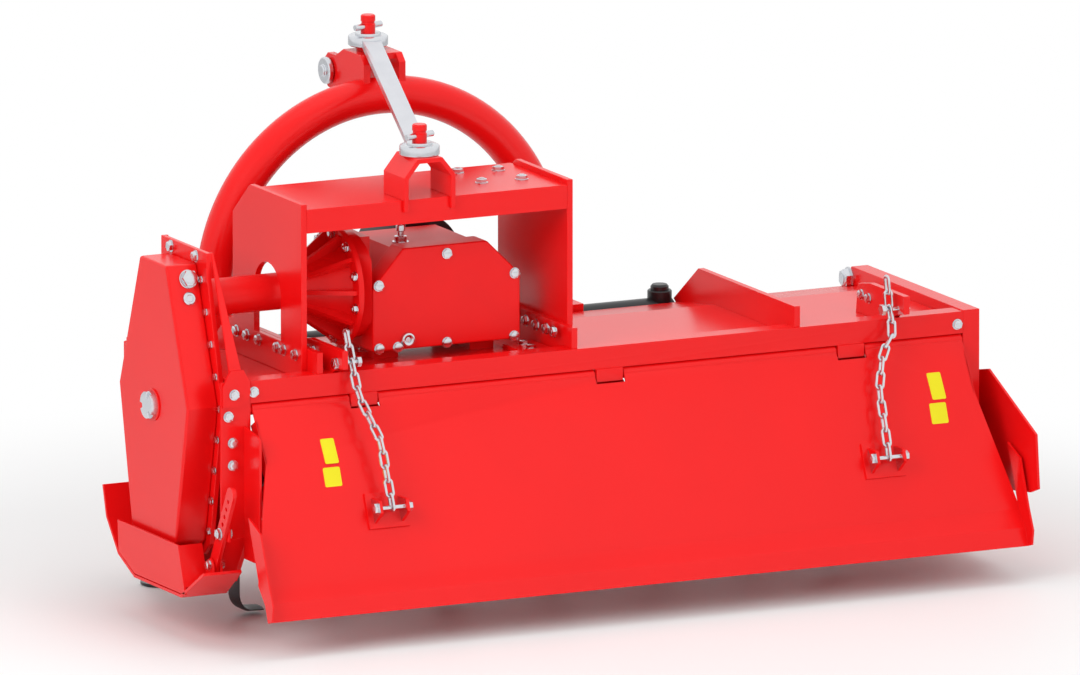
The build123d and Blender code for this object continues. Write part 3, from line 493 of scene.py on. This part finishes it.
# a flat plate cut from a drawn outline with round holes in it, its faces looking along X
def cutPlate(name, outline, holes, thick, x, corner, heading):
    easeMm, holeSteps = 0.5, 24
    curve = bpy.data.curves.new(name, "CURVE")
    curve.dimensions = "2D"
    curve.fill_mode = "BOTH"
    curve.extrude = (thick / 2 - easeMm) * mm
    curve.bevel_depth = easeMm * mm
    curve.bevel_resolution = 1
    for ring in [outline] + [[(u + du, v + dv) for du, dv in circle(holeSteps, r)] for u, v, r in holes]:
        line = curve.splines.new("POLY")
        line.points.add(len(ring) - 1)
        for point, (u, v) in zip(line.points, ring):
            point.co = (u * mm, v * mm, 0, 1)
        line.use_cyclic_u = True
    holder = linked(name, curve)
    data = evaluated(holder)
    bpy.data.objects.remove(holder)
    run = Vector((0, cos(heading), sin(heading)))
    basis = Matrix((run, right.cross(run), right)).transposed().to_4x4()
    data.transform(Matrix.Translation(at(x, *corner)) @ basis)
    return newPiece(name, data, powderRed)


# outline of a bar with round ends, from u = 0 to its length
def roundEnded(length, half):
    ring = circle(24, half, -pi / 2)
    return [(length + u, v) for u, v in ring[:13]] + ring[12:] + ring[:1]


sheet = fromBmesh("skidSheet", bentSheet, powderRed)
easeEdges(sheet, skid["ease"])
sheet.data = evaluated(sheet)
barX, tabThick = depthBar["x"], depthBar["tabThick"]
(y0, z0), (y1, z1) = depthBar["top"], depthBar["foot"]
heading, barLength = atan2(z1 - z0, y1 - y0), hypot(z1 - z0, y1 - y0)
upperSpot, lowerSpot = [(y0 + depthBar[key] * cos(heading), z0 + depthBar[key] * sin(heading))
                        for key in ("upperBolt", "lowerBolt")]
holes = [(depthBar["firstHole"] + depthBar["pitch"] * k, 0, depthBar["holeRadius"])
         for k in range(depthBar["holes"])]
barShape = roundEnded(barLength, depthBar["half"])
skidParts = [sheet, cutPlate("depthBar", barShape, holes, depthBar["thick"], barX, depthBar["top"], heading)]
for out, spot, outline in ((-depthBar["tabOut"], depthBar["tab"], depthBar["tabShape"]),
                           (depthBar["tabOut"], depthBar["tab"], depthBar["tabShape"]),
                           (depthBar["flangeOut"], upperSpot, depthBar["flangeShape"])):
    skidParts.append(cutPlate("tab", outline, [], tabThick, barX + out, spot, 0))
pieces("skidLeft", "frame", skidParts, ("skid_left",))
tabFace, flangeFace = depthBar["tabOut"] + tabThick / 2, depthBar["flangeOut"] + tabThick / 2
skidBolts = [(at(barX - depthBar["thick"] / 2, *upperSpot), left, depthBar["upperHalf"]),
             (at(barX + flangeFace, *upperSpot), right, depthBar["upperHalf"]),
             (at(barX - tabFace, *lowerSpot), left, depthBar["lowerHalf"]),
             (at(barX + tabFace, *lowerSpot), right, depthBar["lowerHalf"])]
bolts("skidBolts", "frame", skidBolts, 0.65, 1.15, 0.3)

# foot of the rear gusset, a plate on the rear flange under the first two bolts
gusset = {"thick": 5,
          "outline": [(-44, 24), (-17, 24), (-3, -2), (-3, -22), (-9, -40), (-30, -46), (-60, -46), (-60, -6)]}


def gussetFoot(shape):
    skin(shape, [[shape.verts.new(at(x, y, z)) for x, z in gusset["outline"]] for y in (0, -gusset["thick"])])


settle(fromBmesh("gussetFoot", gussetFoot, powderRed), "frame")

# idler cap: radius, then height where it is plain and where it is notched
idler = {"steps": 72, "notches": 3, "notchSteps": 5, "firstNotch": 20,
         "rings": [(27, 0, 0), (27, 10, 10), (25.5, 15, 10), (20, 15.5, 9), (17, 15.5, 9), (15, 15.5, 15.5)],
         "seat": [(0, 3), (30, 3), (31, 2), (31, -2), (0, -2)]}
idlerSpot = at(case["face"], case["middleY"], case["idlerZ"])


def castle(shape):
    every = idler["steps"] // idler["notches"]
    rings = []
    for radius, plain, cut in idler["rings"]:
        heights = [cut if (k - idler["firstNotch"]) % every < idler["notchSteps"] else plain
                   for k in range(idler["steps"])]
        rings.append([shape.verts.new(idlerSpot + Vector((-height, y, z)) * mm)
                      for height, (y, z) in zip(heights, circle(idler["steps"], radius))])
    skin(shape, rings)


pieces("idlerCap", "frame",
       [fromBmesh("idlerCastle", castle, zinc),
        turned("idlerRing", idler["seat"], idlerSpot, left, powderRed, 48)],
       ("idler_cap",))
print("case dressed")

# gearbox, its cover and the axle housing
cover = {"face": 110, "half": 9.5, "plug": (380, 26),
         "spots": [(320, 134), (463, 184), (605, 134), (604, 13), (463, 13), (360, 13), (321, 13)],
         "plugShape": [(0, 4), (5, 4), (6, 7), (10, 8), (13, 7), (14, 5), (14, -2), (0, -2)]}
bolts("coverBolts", "frame", [(at(x, cover["face"], z), rear, cover["half"]) for x, z in cover["spots"]],
      0.5, 1.1, 0.1)
plugX, plugZ = cover["plug"]
settle(turned("coverPlug", cover["plugShape"], at(plugX, cover["face"], plugZ), rear, zinc), "frame")

housing = {"Y": 196, "Z": 124, "start": -35, "radius": 35, "coneStart": 188, "coneRadius": 84, "ring": 268,
           "ringEnd": 278, "ringRadius": 112, "boltCircle": 100, "bolts": 10, "boltHalf": 9, "firstBolt": 16,
           "ribs": 10, "ribHalf": 4}
pipe, cone, coneWide = housing["radius"], housing["coneStart"], housing["coneRadius"]
ring, ringEnd, ringWide = housing["ring"], housing["ringEnd"], housing["ringRadius"]
profile = [(0, housing["start"]), (pipe, housing["start"]), (pipe, cone - 14), (pipe + 7, cone - 14),
           (pipe + 8, cone - 12), (pipe + 8, cone), (coneWide - 8, ring - 10), (coneWide, ring),
           (ringWide - 2, ring), (ringWide, ring + 2), (ringWide, ringEnd), (0, ringEnd)]
tube = turned("housingTube", profile, at(0, housing["Y"], housing["Z"]), right, castRed, 64)


def ribFan(shape):
    # Each rib halfway between two bolts of the ring.
    corners = [(cone - 8, 38), (cone - 8, 46), (ring - 6, ringWide - 8), (ring + 1, ringWide - 8),
               (ring + 1, 60)]
    first = radians(housing["firstBolt"] + 180 / housing["bolts"])
    for cy, cz in circle(housing["ribs"], 1, first):
        out = Vector((0, cy, cz))
        side = Vector((0, -cz, cy)) * housing["ribHalf"] * mm
        skin(shape, [[shape.verts.new(at(x, housing["Y"], housing["Z"]) + out * r * mm + side * sign)
                      for x, r in corners] for sign in (-1, 1)])


pieces("axleHousing", "frame", [tube, fromBmesh("housingRibs", ribFan, castRed)], ("axle_tube",))
boltSpots = circle(housing["bolts"], housing["boltCircle"], radians(housing["firstBolt"]))
ringBolts = [(at(ring, housing["Y"] + y, housing["Z"] + z), left, housing["boltHalf"]) for y, z in boltSpots]
bolts("ringBolts", "frame", ringBolts, 0.7, 1.15, 0.5)

breather = {"spot": (410, 200, 193),
            "shape": [(0, 38), (5, 38), (8, 36), (9, 33), (9, 24), (6, 22), (6, 14), (12, 13), (12, 3), (16, 3),
                      (16, -6), (0, -6)]}
settle(turned("breather", breather["shape"], at(*breather["spot"]), up, zinc, 24), "frame")
print("gearbox dressed")

# fasteners on plates: half their width, the way they face, and their places
bearing = {"x": 1540, "Y": 196, "Z": -265, "circle": 46}
plateBolts = [
    (11, up, [(551, 243, 307), (549, 136, 307), (630, 230, 307), (632, 133, 307)]),
    (10, left, [(129, y, 26) for y in (328, 282, 231, 150, 123, 72)]),
    (10, left, [(662, y, 26) for y in (264, 218, 173, 129, 86, 54)]),
    (9, rear, [(-47, 0, -64), (-38, 0, -115), (-38, 0, -158), (1487, 0, -24), (-37, -5, -22)]),
    (8.5, left, [(174.5, 123, 25), (174.5, 88, 27)]),
    (9, left, [(1356.5, 142, 20), (1356.5, 112, 18)]),
    (19, left, [(1500, 478, -22)]),
    (9, rear, [(6, 0, -21)]),
    (11, right, [(1510, 20, -28), (1510, 110, -60), (1510, 300, -60)]),
    (8, right, [(bearing["x"], bearing["Y"] + y, bearing["Z"] + z)
                for y, z in circle(4, bearing["circle"], pi / 4)]),
]
plateRows = [(at(*spot), facing, half) for half, facing, spots in plateBolts for spot in spots]
bolts("plateBolts", "frame", plateRows, 0.6, 1.15, 0.35, seed=5)

# top link pin, its head and the hoop of its linch pin
topPin = {"Y": 0.418, "Z": 0.9335, "hoopSpot": (0.052, 0, 0.013), "hoopAxis": (0.2, 0.9, 0.3),
          "bar": [(0, -60), (9, -60), (12.5, -57), (12.5, 60), (0, 60)],
          "head": [(0, -62), (9, -62), (11, -60), (11, -57), (23.5, -57), (25.8, -55), (25.8, -48), (23.5, -46),
                   (0, -46)],
          "hoop": [(9, -1.5), (12, -1.5), (13, 0), (12, 1.5), (9, 1.5), (8, 0), (9, -1.5)]}
centre = Vector((place["hitchX"], topPin["Y"], topPin["Z"]))
hoopSpot, hoopAxis = centre + Vector(topPin["hoopSpot"]), Vector(topPin["hoopAxis"]).normalized()
pieces("topPin", "frame", [turned("topPinBar", topPin["bar"], centre, right, zinc, 32),
                                   turned("topPinHead", topPin["head"], centre, right, zinc),
                                   turned("topPinHoop", topPin["hoop"], hoopSpot, hoopAxis, zinc, 24)],
       ("top_pin",))

# brace from the cradle to the yoke: its bar, and at each end an eye, a pin with its foot and a cross pin
brace = {"spots": [(394, 85, 388), (528, 583, 500.5)], "ease": 2.0, "crossUp": 33, "crossAxis": (0.95, 0.3, 0),
         "eye": [(0, 21), (24, 21), (24.5, 20), (24.5, 16.5), (27, 16.5), (34, 16.5), (37, 15), (38, 13),
                 (38, -2), (36, -4), (0, -4)],
         "pin": [(0, 55), (12, 55), (14, 53), (14, 43), (12.6, 42), (12.6, 38), (14, 37), (14, 18), (0, 18)],
         "foot": [(0, 0), (22.5, 0), (22.5, -11), (0, -11)],
         "cross": [(0, -34), (5, -34), (6, -33), (6, 33), (5, 34), (0, 34)]}
rounded("strut", "frame", zincBar, brace["ease"])
crossAxis = Vector(brace["crossAxis"]).normalized()
eyeParts, pinParts = [], []
for spot in brace["spots"]:
    foot = at(*spot)
    eyeParts.append(turned("eye", brace["eye"], foot, up, zinc, 56))
    pinParts.append(turned("pin", brace["pin"], foot, up, powderRed, 36))
    pinParts.append(turned("pinFoot", brace["foot"], foot, up, powderRed, 36))
    eyeParts.append(turned("crossPin", brace["cross"], foot + up * brace["crossUp"] * mm, crossAxis, zinc, 20))
pieces("braceEyes", "frame", eyeParts)
pieces("bracePins", "frame", pinParts, ("strut_pins",))
print("brace made")

# slide bar and parking legs
bar = {"round": [(0, 0), (27, 0), (30, 3), (30, 1141), (27, 1144), (0, 1144)], "sockets": (60, 1120),
       "socket": [(18, -45), (22, -45), (23.5, -43), (23.5, 43), (22, 45), (18, 45), (18, -45)],
       "leg": [(0, 486), (14, 486), (17.5, 482), (17.5, 6), (35, 6), (35, 1.5), (33.5, 0), (0, 0)],
       "holeUp": 0.468, "hole": [(0, -17.9), (4.5, -17.9), (4.5, 17.9), (0, 17.9)]}
barStart = Vector((place["leftX"], place["barY"], place["barZ"]))
barParts = [turned("barRound", bar["round"], barStart, right, blackEnamel)]
for x in bar["sockets"]:
    barParts.append(turned("socket", bar["socket"], barStart + right * x * mm, up, blackEnamel, 36))
pieces("slideBar", "frame", barParts, ("slide_bar",))
for side, x in zip(("left", "right"), bar["sockets"]):
    foot = Vector((place["leftX"] + x * mm, place["barY"], 0))
    leg = turned("leg", bar["leg"], foot, up, blackEnamel, 36)
    # the hole through the leg is not cut: a near-black rod of painted shade fills it
    hole = turned("legHole", bar["hole"], foot + up * bar["holeUp"], rear, paintedHoleShade, 20)
    pieces("stand" + side.capitalize(), "stand_" + side, [leg, hole], ("stand_" + side,))

# drive shaft and its guard, their profiles measured forward from the shaft's seat
shaft = {"Y": 0.088, "Z": 0.619,
         "guard": [(62, 26), (84, 26), (85, 30), (85, 137), (84, 139), (81, 140), (80, 137), (80, 34), (62, 34),
                   (62, 26)],
         "shank": [(0, -30), (17.5, -30), (17.5, 48), (15, 52), (15, 60), (0, 60)]}
teeth = {"count": 6, "stepsEach": 6, "wideSteps": 3, "outer": 17.4, "inner": 14.5,
         "rings": [(0.138, 0), (0.204, 0), (0.2075, 3)]}      # how far forward, and how much slimmer
nose = Vector((place["hitchX"], shaft["Y"], shaft["Z"]))
settle(turned("shaftGuard", shaft["guard"], nose, forward, polypropylene, 64), "frame",
       ("pto_guard",))


def spline(shape):
    # Broad teeth along the shaft's front end.
    rings = []
    for ahead, slimmer in teeth["rings"]:
        rings.append([])
        for k, (u, v) in enumerate(circle(teeth["count"] * teeth["stepsEach"], 1)):
            wide = k % teeth["stepsEach"] < teeth["wideSteps"]
            radius = ((teeth["outer"] if wide else teeth["inner"]) - slimmer) * mm
            rings[-1].append(shape.verts.new((place["hitchX"] + radius * u, ahead, shaft["Z"] + radius * v)))
    skin(shape, rings)


shank = turned("shaftShank", shaft["shank"], nose, forward, machined, 36)
pieces("driveShaft", "pto_shaft", [shank, fromBmesh("splineTeeth", spline, machined, 25)],
       ("pto_shaft",))

# rotor tube and flanges
rotor = {"length": 1500, "endGap": 8, "tube": 44.5, "weld": 5, "flange": 100, "flangeThick": 12, "flanges": 7,
         "first": 45, "steps": 56}
rotor["step"] = (rotor["length"] - 2 * rotor["first"] - rotor["flangeThick"]) / (rotor["flanges"] - 1)
flangeSpots = [rotor["first"] + n * rotor["step"] for n in range(rotor["flanges"])]
axis = Vector((place["leftX"], place["rotorY"], place["rotorZ"]))
tubeWide, flangeWide, weld = rotor["tube"], rotor["flange"], rotor["weld"]
outline = [(0, rotor["endGap"]), (tubeWide, rotor["endGap"])]
for x in flangeSpots:
    back = x + rotor["flangeThick"]
    outline += [(tubeWide, x - weld), (tubeWide + weld, x), (flangeWide - 1, x), (flangeWide, x + 1),
                (flangeWide, back - 1), (flangeWide - 1, back), (tubeWide + weld, back), (tubeWide, back + weld)]
outline += [(tubeWide, rotor["length"] - rotor["endGap"]), (0, rotor["length"] - rotor["endGap"])]
settle(turned("rotorTube", outline, axis, right, powderRed, rotor["steps"]), "rotor",
       ("rotor_shaft",))

# L blades: a flat shank out to the bend, then the leg across, sharpened along its leading side
blade = {"thick": 8, "wide": 64, "shank": (54, 80, 120, 155, 182), "bendRadius": 38, "bendSteps": 8,
         "lean": 1.5, "trailing": 17, "leading": -17, "edge": 0.8, "bevel": 13, "belly": 7, "flare": 9, "sweep": 8,
         "aSide": 3, "bolts": (68, 90), "boltHalf": 9, "handTurn": 60}


def bladeMesh(hand):
    half, bend = blade["thick"] / 2, blade["bendRadius"]
    line = [(radius, half) for radius in blade["shank"]]
    start = blade["shank"][-1]
    for k in range(1, blade["bendSteps"] + 1):
        spin = pi / 2 * k / blade["bendSteps"]
        line.append((start + bend * sin(spin), half + bend * (1 - cos(spin))))
    line.append((start + bend + blade["lean"], blade["wide"]))

    def build(shape):
        rings = []
        for k, (radius, across) in enumerate(line):
            before, after = line[max(k - 1, 0)], line[min(k + 1, len(line) - 1)]
            length = hypot(after[0] - before[0], after[1] - before[1])
            normal = ((after[1] - before[1]) / length, -(after[0] - before[0]) / length)
            share = k / (len(line) - 1)
            trailing = blade["trailing"] + blade["flare"] * share
            leading = blade["leading"] - blade["belly"] * sin(pi * share) + blade["flare"] * share
            section = [(trailing, half), (leading + blade["bevel"], half), (leading, blade["edge"]),
                       (leading, -blade["edge"]), (leading + blade["bevel"], -half), (trailing, -half)]
            rings.append([shape.verts.new(Vector((hand * (across + t * normal[1]), radius + t * normal[0],
                                                  w + blade["sweep"] * share)) * mm) for w, t in section])
        skin(shape, rings)

    return builtMesh("blade", build)


def pointTurn(tree):
    turn = addNode(tree, "GeometryNodeInputNamedAttribute", {"data_type": "FLOAT_VECTOR", "Name": "turn"})
    asTurn = addNode(tree, "FunctionNodeEulerToRotation", links={"Euler": turn})
    return asTurn


def bladeTree():
    # Puts one object's mesh on every point, turned by the point's own angles.
    tree, given = newTree("bladeSet", {"Shape": "Object", "Size": "Float"})
    shapeIn = addNode(tree, "GeometryNodeObjectInfo", links={"Object": given["Shape"]})
    return finishTree(tree, given, shapeIn.outputs["Geometry"], pointTurn(tree), given["Size"])


bladeSet = bladeTree()
bladeParts, bladeBolts = [], []
for hand in (1, -1):
    rows = []
    for n, flange in enumerate(flangeSpots):
        if n == (0 if hand < 0 else rotor["flanges"] - 1):
            continue
        face = flange + rotor["flangeThick"] if hand > 0 else flange
        for k in range(blade["aSide"]):
            spin = radians(-90 + n * 360 / rotor["flanges"] / blade["aSide"] + k * 360 / blade["aSide"]
                           + (blade["handTurn"] if hand < 0 else 0))
            rows.append((axis + right * face * mm, (spin, 0, 0)))
            for radius in blade["bolts"]:
                hub = axis + Vector((0, radius * mm * cos(spin), radius * mm * sin(spin)))
                for depth, way in ((blade["thick"], hand), (-rotor["flangeThick"], -hand)):
                    bladeBolts.append((hub + right * (face + hand * depth) * mm, right * way, blade["boltHalf"]))
    helper = linked("bladeShape", bladeMesh(hand))
    bladeParts.append(runTree("bladesOneHand", bladeSet, pointMesh(rows, {"turn": "FLOAT_VECTOR"}),
                              {"Shape": helper, "Size": 1.0}, forged))
    bpy.data.objects.remove(helper)
pieces("bladeSet", "rotor", bladeParts, ("blades",))
bolts("bladeBolts", "rotor", bladeBolts, 0.6, 1.1, 0.4)
print("rotor made")

# chains: each path runs from the free end over the bracket's bolt to the board's
chainSizes = {"wire": 6, "width": 20.5, "links": 11, "spare": 2, "overlap": 4, "slackShare": 0.8515}
chainPaths = {
    "left": [(200, 11, 92), (205, -10, 20), (208, -34, -40), (225, -94, -117), (235, -124, -240)],
    "right": [(1335, -1, 94), (1338, -10, 20), (1340, -21, -24), (1306, -44, -56), (1285, -72, -121),
              (1281, -103, -183), (1280, -124, -240)],
}


def chainTree():
    tree, given = newTree("chainLinks", {"Pitch": "Float", "Width": "Float", "Wire": "Float"})
    grow = addNode(tree, "ShaderNodeMath", {"operation": "ADD"}, {0: given["Pitch"], 1: given["Wire"]})
    slim = addNode(tree, "ShaderNodeMath", {"operation": "SUBTRACT"}, {0: given["Width"], 1: given["Wire"]})
    bendAt = addNode(tree, "ShaderNodeMath", {"operation": "MULTIPLY", 1: 0.48}, {0: slim})
    thin = addNode(tree, "ShaderNodeMath", {"operation": "MULTIPLY", 1: 0.5}, {0: given["Wire"]})
    oval = addNode(tree, "GeometryNodeCurvePrimitiveQuadrilateral", links={"Width": grow, "Height": slim})
    soft = addNode(tree, "GeometryNodeFilletCurve", {"mode": "POLY", "Count": 5},
                   {"Curve": oval, "Radius": bendAt})
    wire = addNode(tree, "GeometryNodeCurvePrimitiveCircle", {"Resolution": 8}, {"Radius": thin})
    link = addNode(tree, "GeometryNodeCurveToMesh", links={"Curve": soft, "Profile Curve": wire})
    return finishTree(tree, given, link, pointTurn(tree))


chainLinks = chainTree()


def along(path, distance):
    # Point at a distance down a chain of points.
    for first, second in zip(path, path[1:]):
        length = (second - first).length
        if distance <= length or second is path[-1]:
            return first + (second - first).normalized() * distance
        distance -= length


for side, spots in chainPaths.items():
    path = [at(*spot) for spot in spots]
    freeEnd = (path[1] - path[0]).length
    reach = sum((b - a).length for a, b in zip(path[1:], path[2:]))
    overlap = chainSizes["overlap"] * mm
    pitch = (reach + 2 * overlap) / chainSizes["links"]
    rows = []
    for k in range(-chainSizes["spare"], chainSizes["links"]):
        middle = freeEnd + pitch / 2 - overlap + k * pitch
        above, below = along(path, middle - pitch / 2), along(path, middle + pitch / 2)
        run = (below - above).normalized()
        flatAxis = (right - run * run.dot(right)).normalized()
        wide = run.cross(flatAxis) if k % 2 == 0 else flatAxis
        basis = Matrix((run, wide, run.cross(wide))).transposed()
        rows.append(((above + below) / 2, tuple(basis.to_euler())))
    piece = runTree("chain" + side.capitalize(), chainLinks, pointMesh(rows, {"turn": "FLOAT_VECTOR"}),
                    {"Pitch": pitch, "Width": chainSizes["width"] * mm, "Wire": chainSizes["wire"] * mm}, zinc)
    settle(piece, "chain_" + side, ("chain_" + side,))
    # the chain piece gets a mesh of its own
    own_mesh(piece)
print("chains made")

# the bolts that the chains hang on: at the brackets, and on both sides of the clevises on the board
chainBolts = {"half": 10, "bracketOut": 30.5, "clevisOut": 31}
anchorBolts, boardBolts = [], []
for outward, spots in ((left, chainPaths["left"]), (right, chainPaths["right"])):
    hook, anchor = at(*spots[-1]), at(*spots[1])
    boardBolts += [(hook + way * chainBolts["clevisOut"] * mm, way, chainBolts["half"]) for way in (left, right)]
    anchorBolts.append((anchor + outward * chainBolts["bracketOut"] * mm, outward, chainBolts["half"]))
bolts("boardBolts", "tailboard", boardBolts, 0.65, 1.1, 0.3)
bolts("anchorBolts", "frame", anchorBolts, 0.6, 1.15, 0.3)


def plate(shape, centre, across, out, width, height, corner, thick):
    # A flat plate with round corners, centred, as thick as given in all.
    downward = across.cross(out)
    rim = []
    for sx, sy, begin in ((1, 1, 0), (-1, 1, 90), (-1, -1, 180), (1, -1, 270)):
        for k in range(5):
            spin = radians(begin + 22.5 * k)
            rim.append(centre + across * (sx * (width / 2 - corner) + corner * cos(spin)) * mm
                       - downward * (sy * (height / 2 - corner) + corner * sin(spin)) * mm)
    skin(shape, [[shape.verts.new(v + out * side * thick / 2 * mm) for v in rim] for side in (-1, 1)])


def boardSpot(x, z):
    # A place on the outer face of the tailboard's panels by its height, and the way the face looks.
    line = [(-2, -55), (-59, -150), (-141, -361)]
    for (y0, z0), (y1, z1) in zip(line, line[1:]):
        if z >= z1:
            share = (z - z0) / (z1 - z0)
            return at(x, y0 + share * (y1 - y0), z), Vector((0, z1 - z0, y0 - y1)).normalized()


# blank yellow plates on the board: left edge, top edge, width and height of each
stickers = {"thick": 1, "corner": 3,
            "places": [(125, -112, 28, 50), (118, -164, 35, 37), (1405, -102, 29, 54), (1396, -157, 35, 40)]}


def stickerSet(shape):
    for x, z, width, height in stickers["places"]:
        spot, out = boardSpot(x + width / 2, z - height / 2)
        plate(shape, spot, right, out, width, height, stickers["corner"], stickers["thick"])


settle(fromBmesh("blankStickers", stickerSet, yellowVinyl), "tailboard")

# foot plates that carry the gearbox on the deck: X, Y, width and depth
gearFeet = {"top": -10, "thick": 8, "corner": 8, "places": [(635, 118, 66, 86), (346, 226, 52, 60)],
            "bolts": [(636, 133), (631, 92), (346, 228)], "boltHalf": 9}


def footSet(shape):
    for x, y, width, depth in gearFeet["places"]:
        plate(shape, at(x, y, gearFeet["top"] - gearFeet["thick"] / 2), right, up, width, depth,
              gearFeet["corner"], gearFeet["thick"])


settle(fromBmesh("gearboxFeet", footSet, powderRed), "frame")
footBolts = [(at(x, y, gearFeet["top"]), up, gearFeet["boltHalf"]) for x, y in gearFeet["bolts"]]
bolts("footBolts", "frame", footBolts, 0.6, 1.15, 0.4)

# side edges of the board folded forward below the hinge, run out before they reach the wings: X, Z and depth
edgeFold = {"sheet": 2.5, "lines": [(right, [(4, -74, 26), (4, -148, 26), (-1.5, -172, 6)]),
                                    (left, [(1496, -74, 26), (1496, -148, 26), (1501.5, -172, 6)])]}


def foldSet(shape):
    for inward, line in edgeFold["lines"]:
        across = inward * edgeFold["sheet"] * mm
        rows = []
        for x, z, depth in line:
            spot, out = boardSpot(x, z)
            deep = spot - out * depth * mm
            rows.append([shape.verts.new(v) for v in (spot, deep, deep + across, spot + across)])
        skin(shape, rows)


settle(fromBmesh("boardEdges", foldSet, powderRed), "tailboard")

# folded pockets behind the hinge tabs, round the hinge's own axis so that they turn clear of the tabs
pocket = {"Y": 9, "Z": -55, "radius": 24.4, "sheet": 1.6, "from": -130, "to": -12, "steps": 10, "width": 84,
          "middles": (235, 750, 1260)}


def pocketSet(shape):
    half, outer, inner = pocket["width"] / 2, pocket["radius"], pocket["radius"] - pocket["sheet"]
    for middle in pocket["middles"]:
        rows = []
        for k in range(pocket["steps"] + 1):
            spin = radians(pocket["from"] + (pocket["to"] - pocket["from"]) * k / pocket["steps"])
            rows.append([shape.verts.new(at(middle + x, pocket["Y"] + r * cos(spin), pocket["Z"] + r * sin(spin)))
                         for x, r in ((-half, outer), (half, outer), (half, inner), (-half, inner))])
        skin(shape, rows)


settle(fromBmesh("hingePockets", pocketSet, powderRed), "tailboard")
print("tailboard dressed")

# camera: a long lens from the machine's rear left
cameraSetup = {"azimuth": 26.2, "elevation": 11.5, "distance": 56.0, "frameWidth": 2.0455, "sensor": 36.0,
               "target": (0.0, -0.002, 0.470)}
camData = bpy.data.cameras.new("longLens")
cam = linked("longLens", camData)
camData.sensor_width = cameraSetup["sensor"]
camData.lens = cameraSetup["sensor"] * cameraSetup["distance"] / cameraSetup["frameWidth"]
camData.clip_end = 150.0
turn, lift = radians(cameraSetup["azimuth"]), radians(cameraSetup["elevation"])
back = Vector((-sin(turn) * cos(lift), -cos(turn) * cos(lift), sin(lift)))
cam.location = Vector(cameraSetup["target"]) + back * cameraSetup["distance"]
cam.rotation_euler = back.to_track_quat("Z", "Y").to_euler()
scene.camera = cam


def raysOf(tree, *kinds):
    # 1 where a ray is of one of these kinds.
    path = addNode(tree, "ShaderNodeLightPath")
    found = path.outputs["Is " + kinds[0] + " Ray"]
    for kind in kinds[1:]:
        found = addNode(tree, "ShaderNodeMath", {"operation": "MAXIMUM"},
                        {0: found, 1: path.outputs["Is " + kind + " Ray"]})
    return found


# pale floor: white further out than the machine's shadow, for the camera and through clear parts
studio = {"half": 40, "drop": 0.001, "paper": "#f4f4f4", "fadeFrom": 0.9, "fadeTo": 1.9}
floorMaterial, tree = newMaterial("paleStudioFloor")
spot = addNode(tree, "ShaderNodeTexCoord").outputs["Object"]
tone = addNode(tree, "ShaderNodeTexNoise", {"Scale": 3.0, "Detail": 2.0}, {"Vector": spot})
rough = addNode(tree, "ShaderNodeMapRange", {"To Min": 0.5, "To Max": 0.6}, {"Value": tone})
paper = addNode(tree, "ShaderNodeBsdfPrincipled",
                {"Base Color": linear(studio["paper"]), "Specular IOR Level": 0.2}, {"Roughness": rough})
farOff = addNode(tree, "ShaderNodeVectorMath", {"operation": "LENGTH"}, {0: spot})
fade = addNode(tree, "ShaderNodeMapRange", {"interpolation_type": "SMOOTHSTEP", "From Min": studio["fadeFrom"],
                                            "From Max": studio["fadeTo"]}, {"Value": farOff.outputs["Value"]})
seen = raysOf(tree, "Camera", "Transmission")
share = addNode(tree, "ShaderNodeMath", {"operation": "MULTIPLY"}, {0: fade, 1: seen})
white = addNode(tree, "ShaderNodeEmission", {"Color": linear("#ffffff"), "Strength": 1.0})
fadeOut = addNode(tree, "ShaderNodeMixShader", links={0: share, 1: paper, 2: white})
addNode(tree, "ShaderNodeOutputMaterial", links={"Surface": fadeOut})
floorData = bpy.data.meshes.new("studioFloor")
floorData.from_pydata([(x * studio["half"], y * studio["half"], -studio["drop"])
                       for x, y in ((-1, -1), (1, -1), (1, 1), (-1, 1))], [], [(0, 1, 2, 3)])
floorData.materials.append(floorMaterial)
linked("studioFloor", floorData)

# a soft room that is white where it is seen, mirrored or looked at through something
world = bpy.data.worlds.new("softRoom")
scene.world = world
world.use_nodes = True
tree = world.node_tree
tree.nodes.clear()
dim = addNode(tree, "ShaderNodeBackground", {"Color": linear("#ffffff"), "Strength": 0.55})
bright = addNode(tree, "ShaderNodeBackground", {"Color": linear("#ffffff"), "Strength": 1.0})
seen = raysOf(tree, "Camera", "Glossy", "Transmission")
mix = addNode(tree, "ShaderNodeMixShader", links={0: seen, 1: dim, 2: bright})
addNode(tree, "ShaderNodeOutputWorld", links={"Surface": mix})

# name, place, size in metres and power in watts
lampAim = Vector((0, 0, 0.45))
lamps = [("softLeft", (-4.2, -2.2, 3.0), 3.0, 115), ("softRear", (1.5, -5.0, 3.2), 3.0, 70),
         ("softTop", (0.3, 0.2, 4.5), 3.5, 60)]
for name, spot, size, power in lamps:
    data = bpy.data.lights.new(name, "AREA")
    data.energy, data.size = power, size
    light = linked(name, data)
    light.visible_glossy = False       # the reflections show the white room alone
    light.location = spot
    light.rotation_euler = (Vector(spot) - lampAim).to_track_quat("Z", "Y").to_euler()

scene.view_settings.view_transform = "Standard"
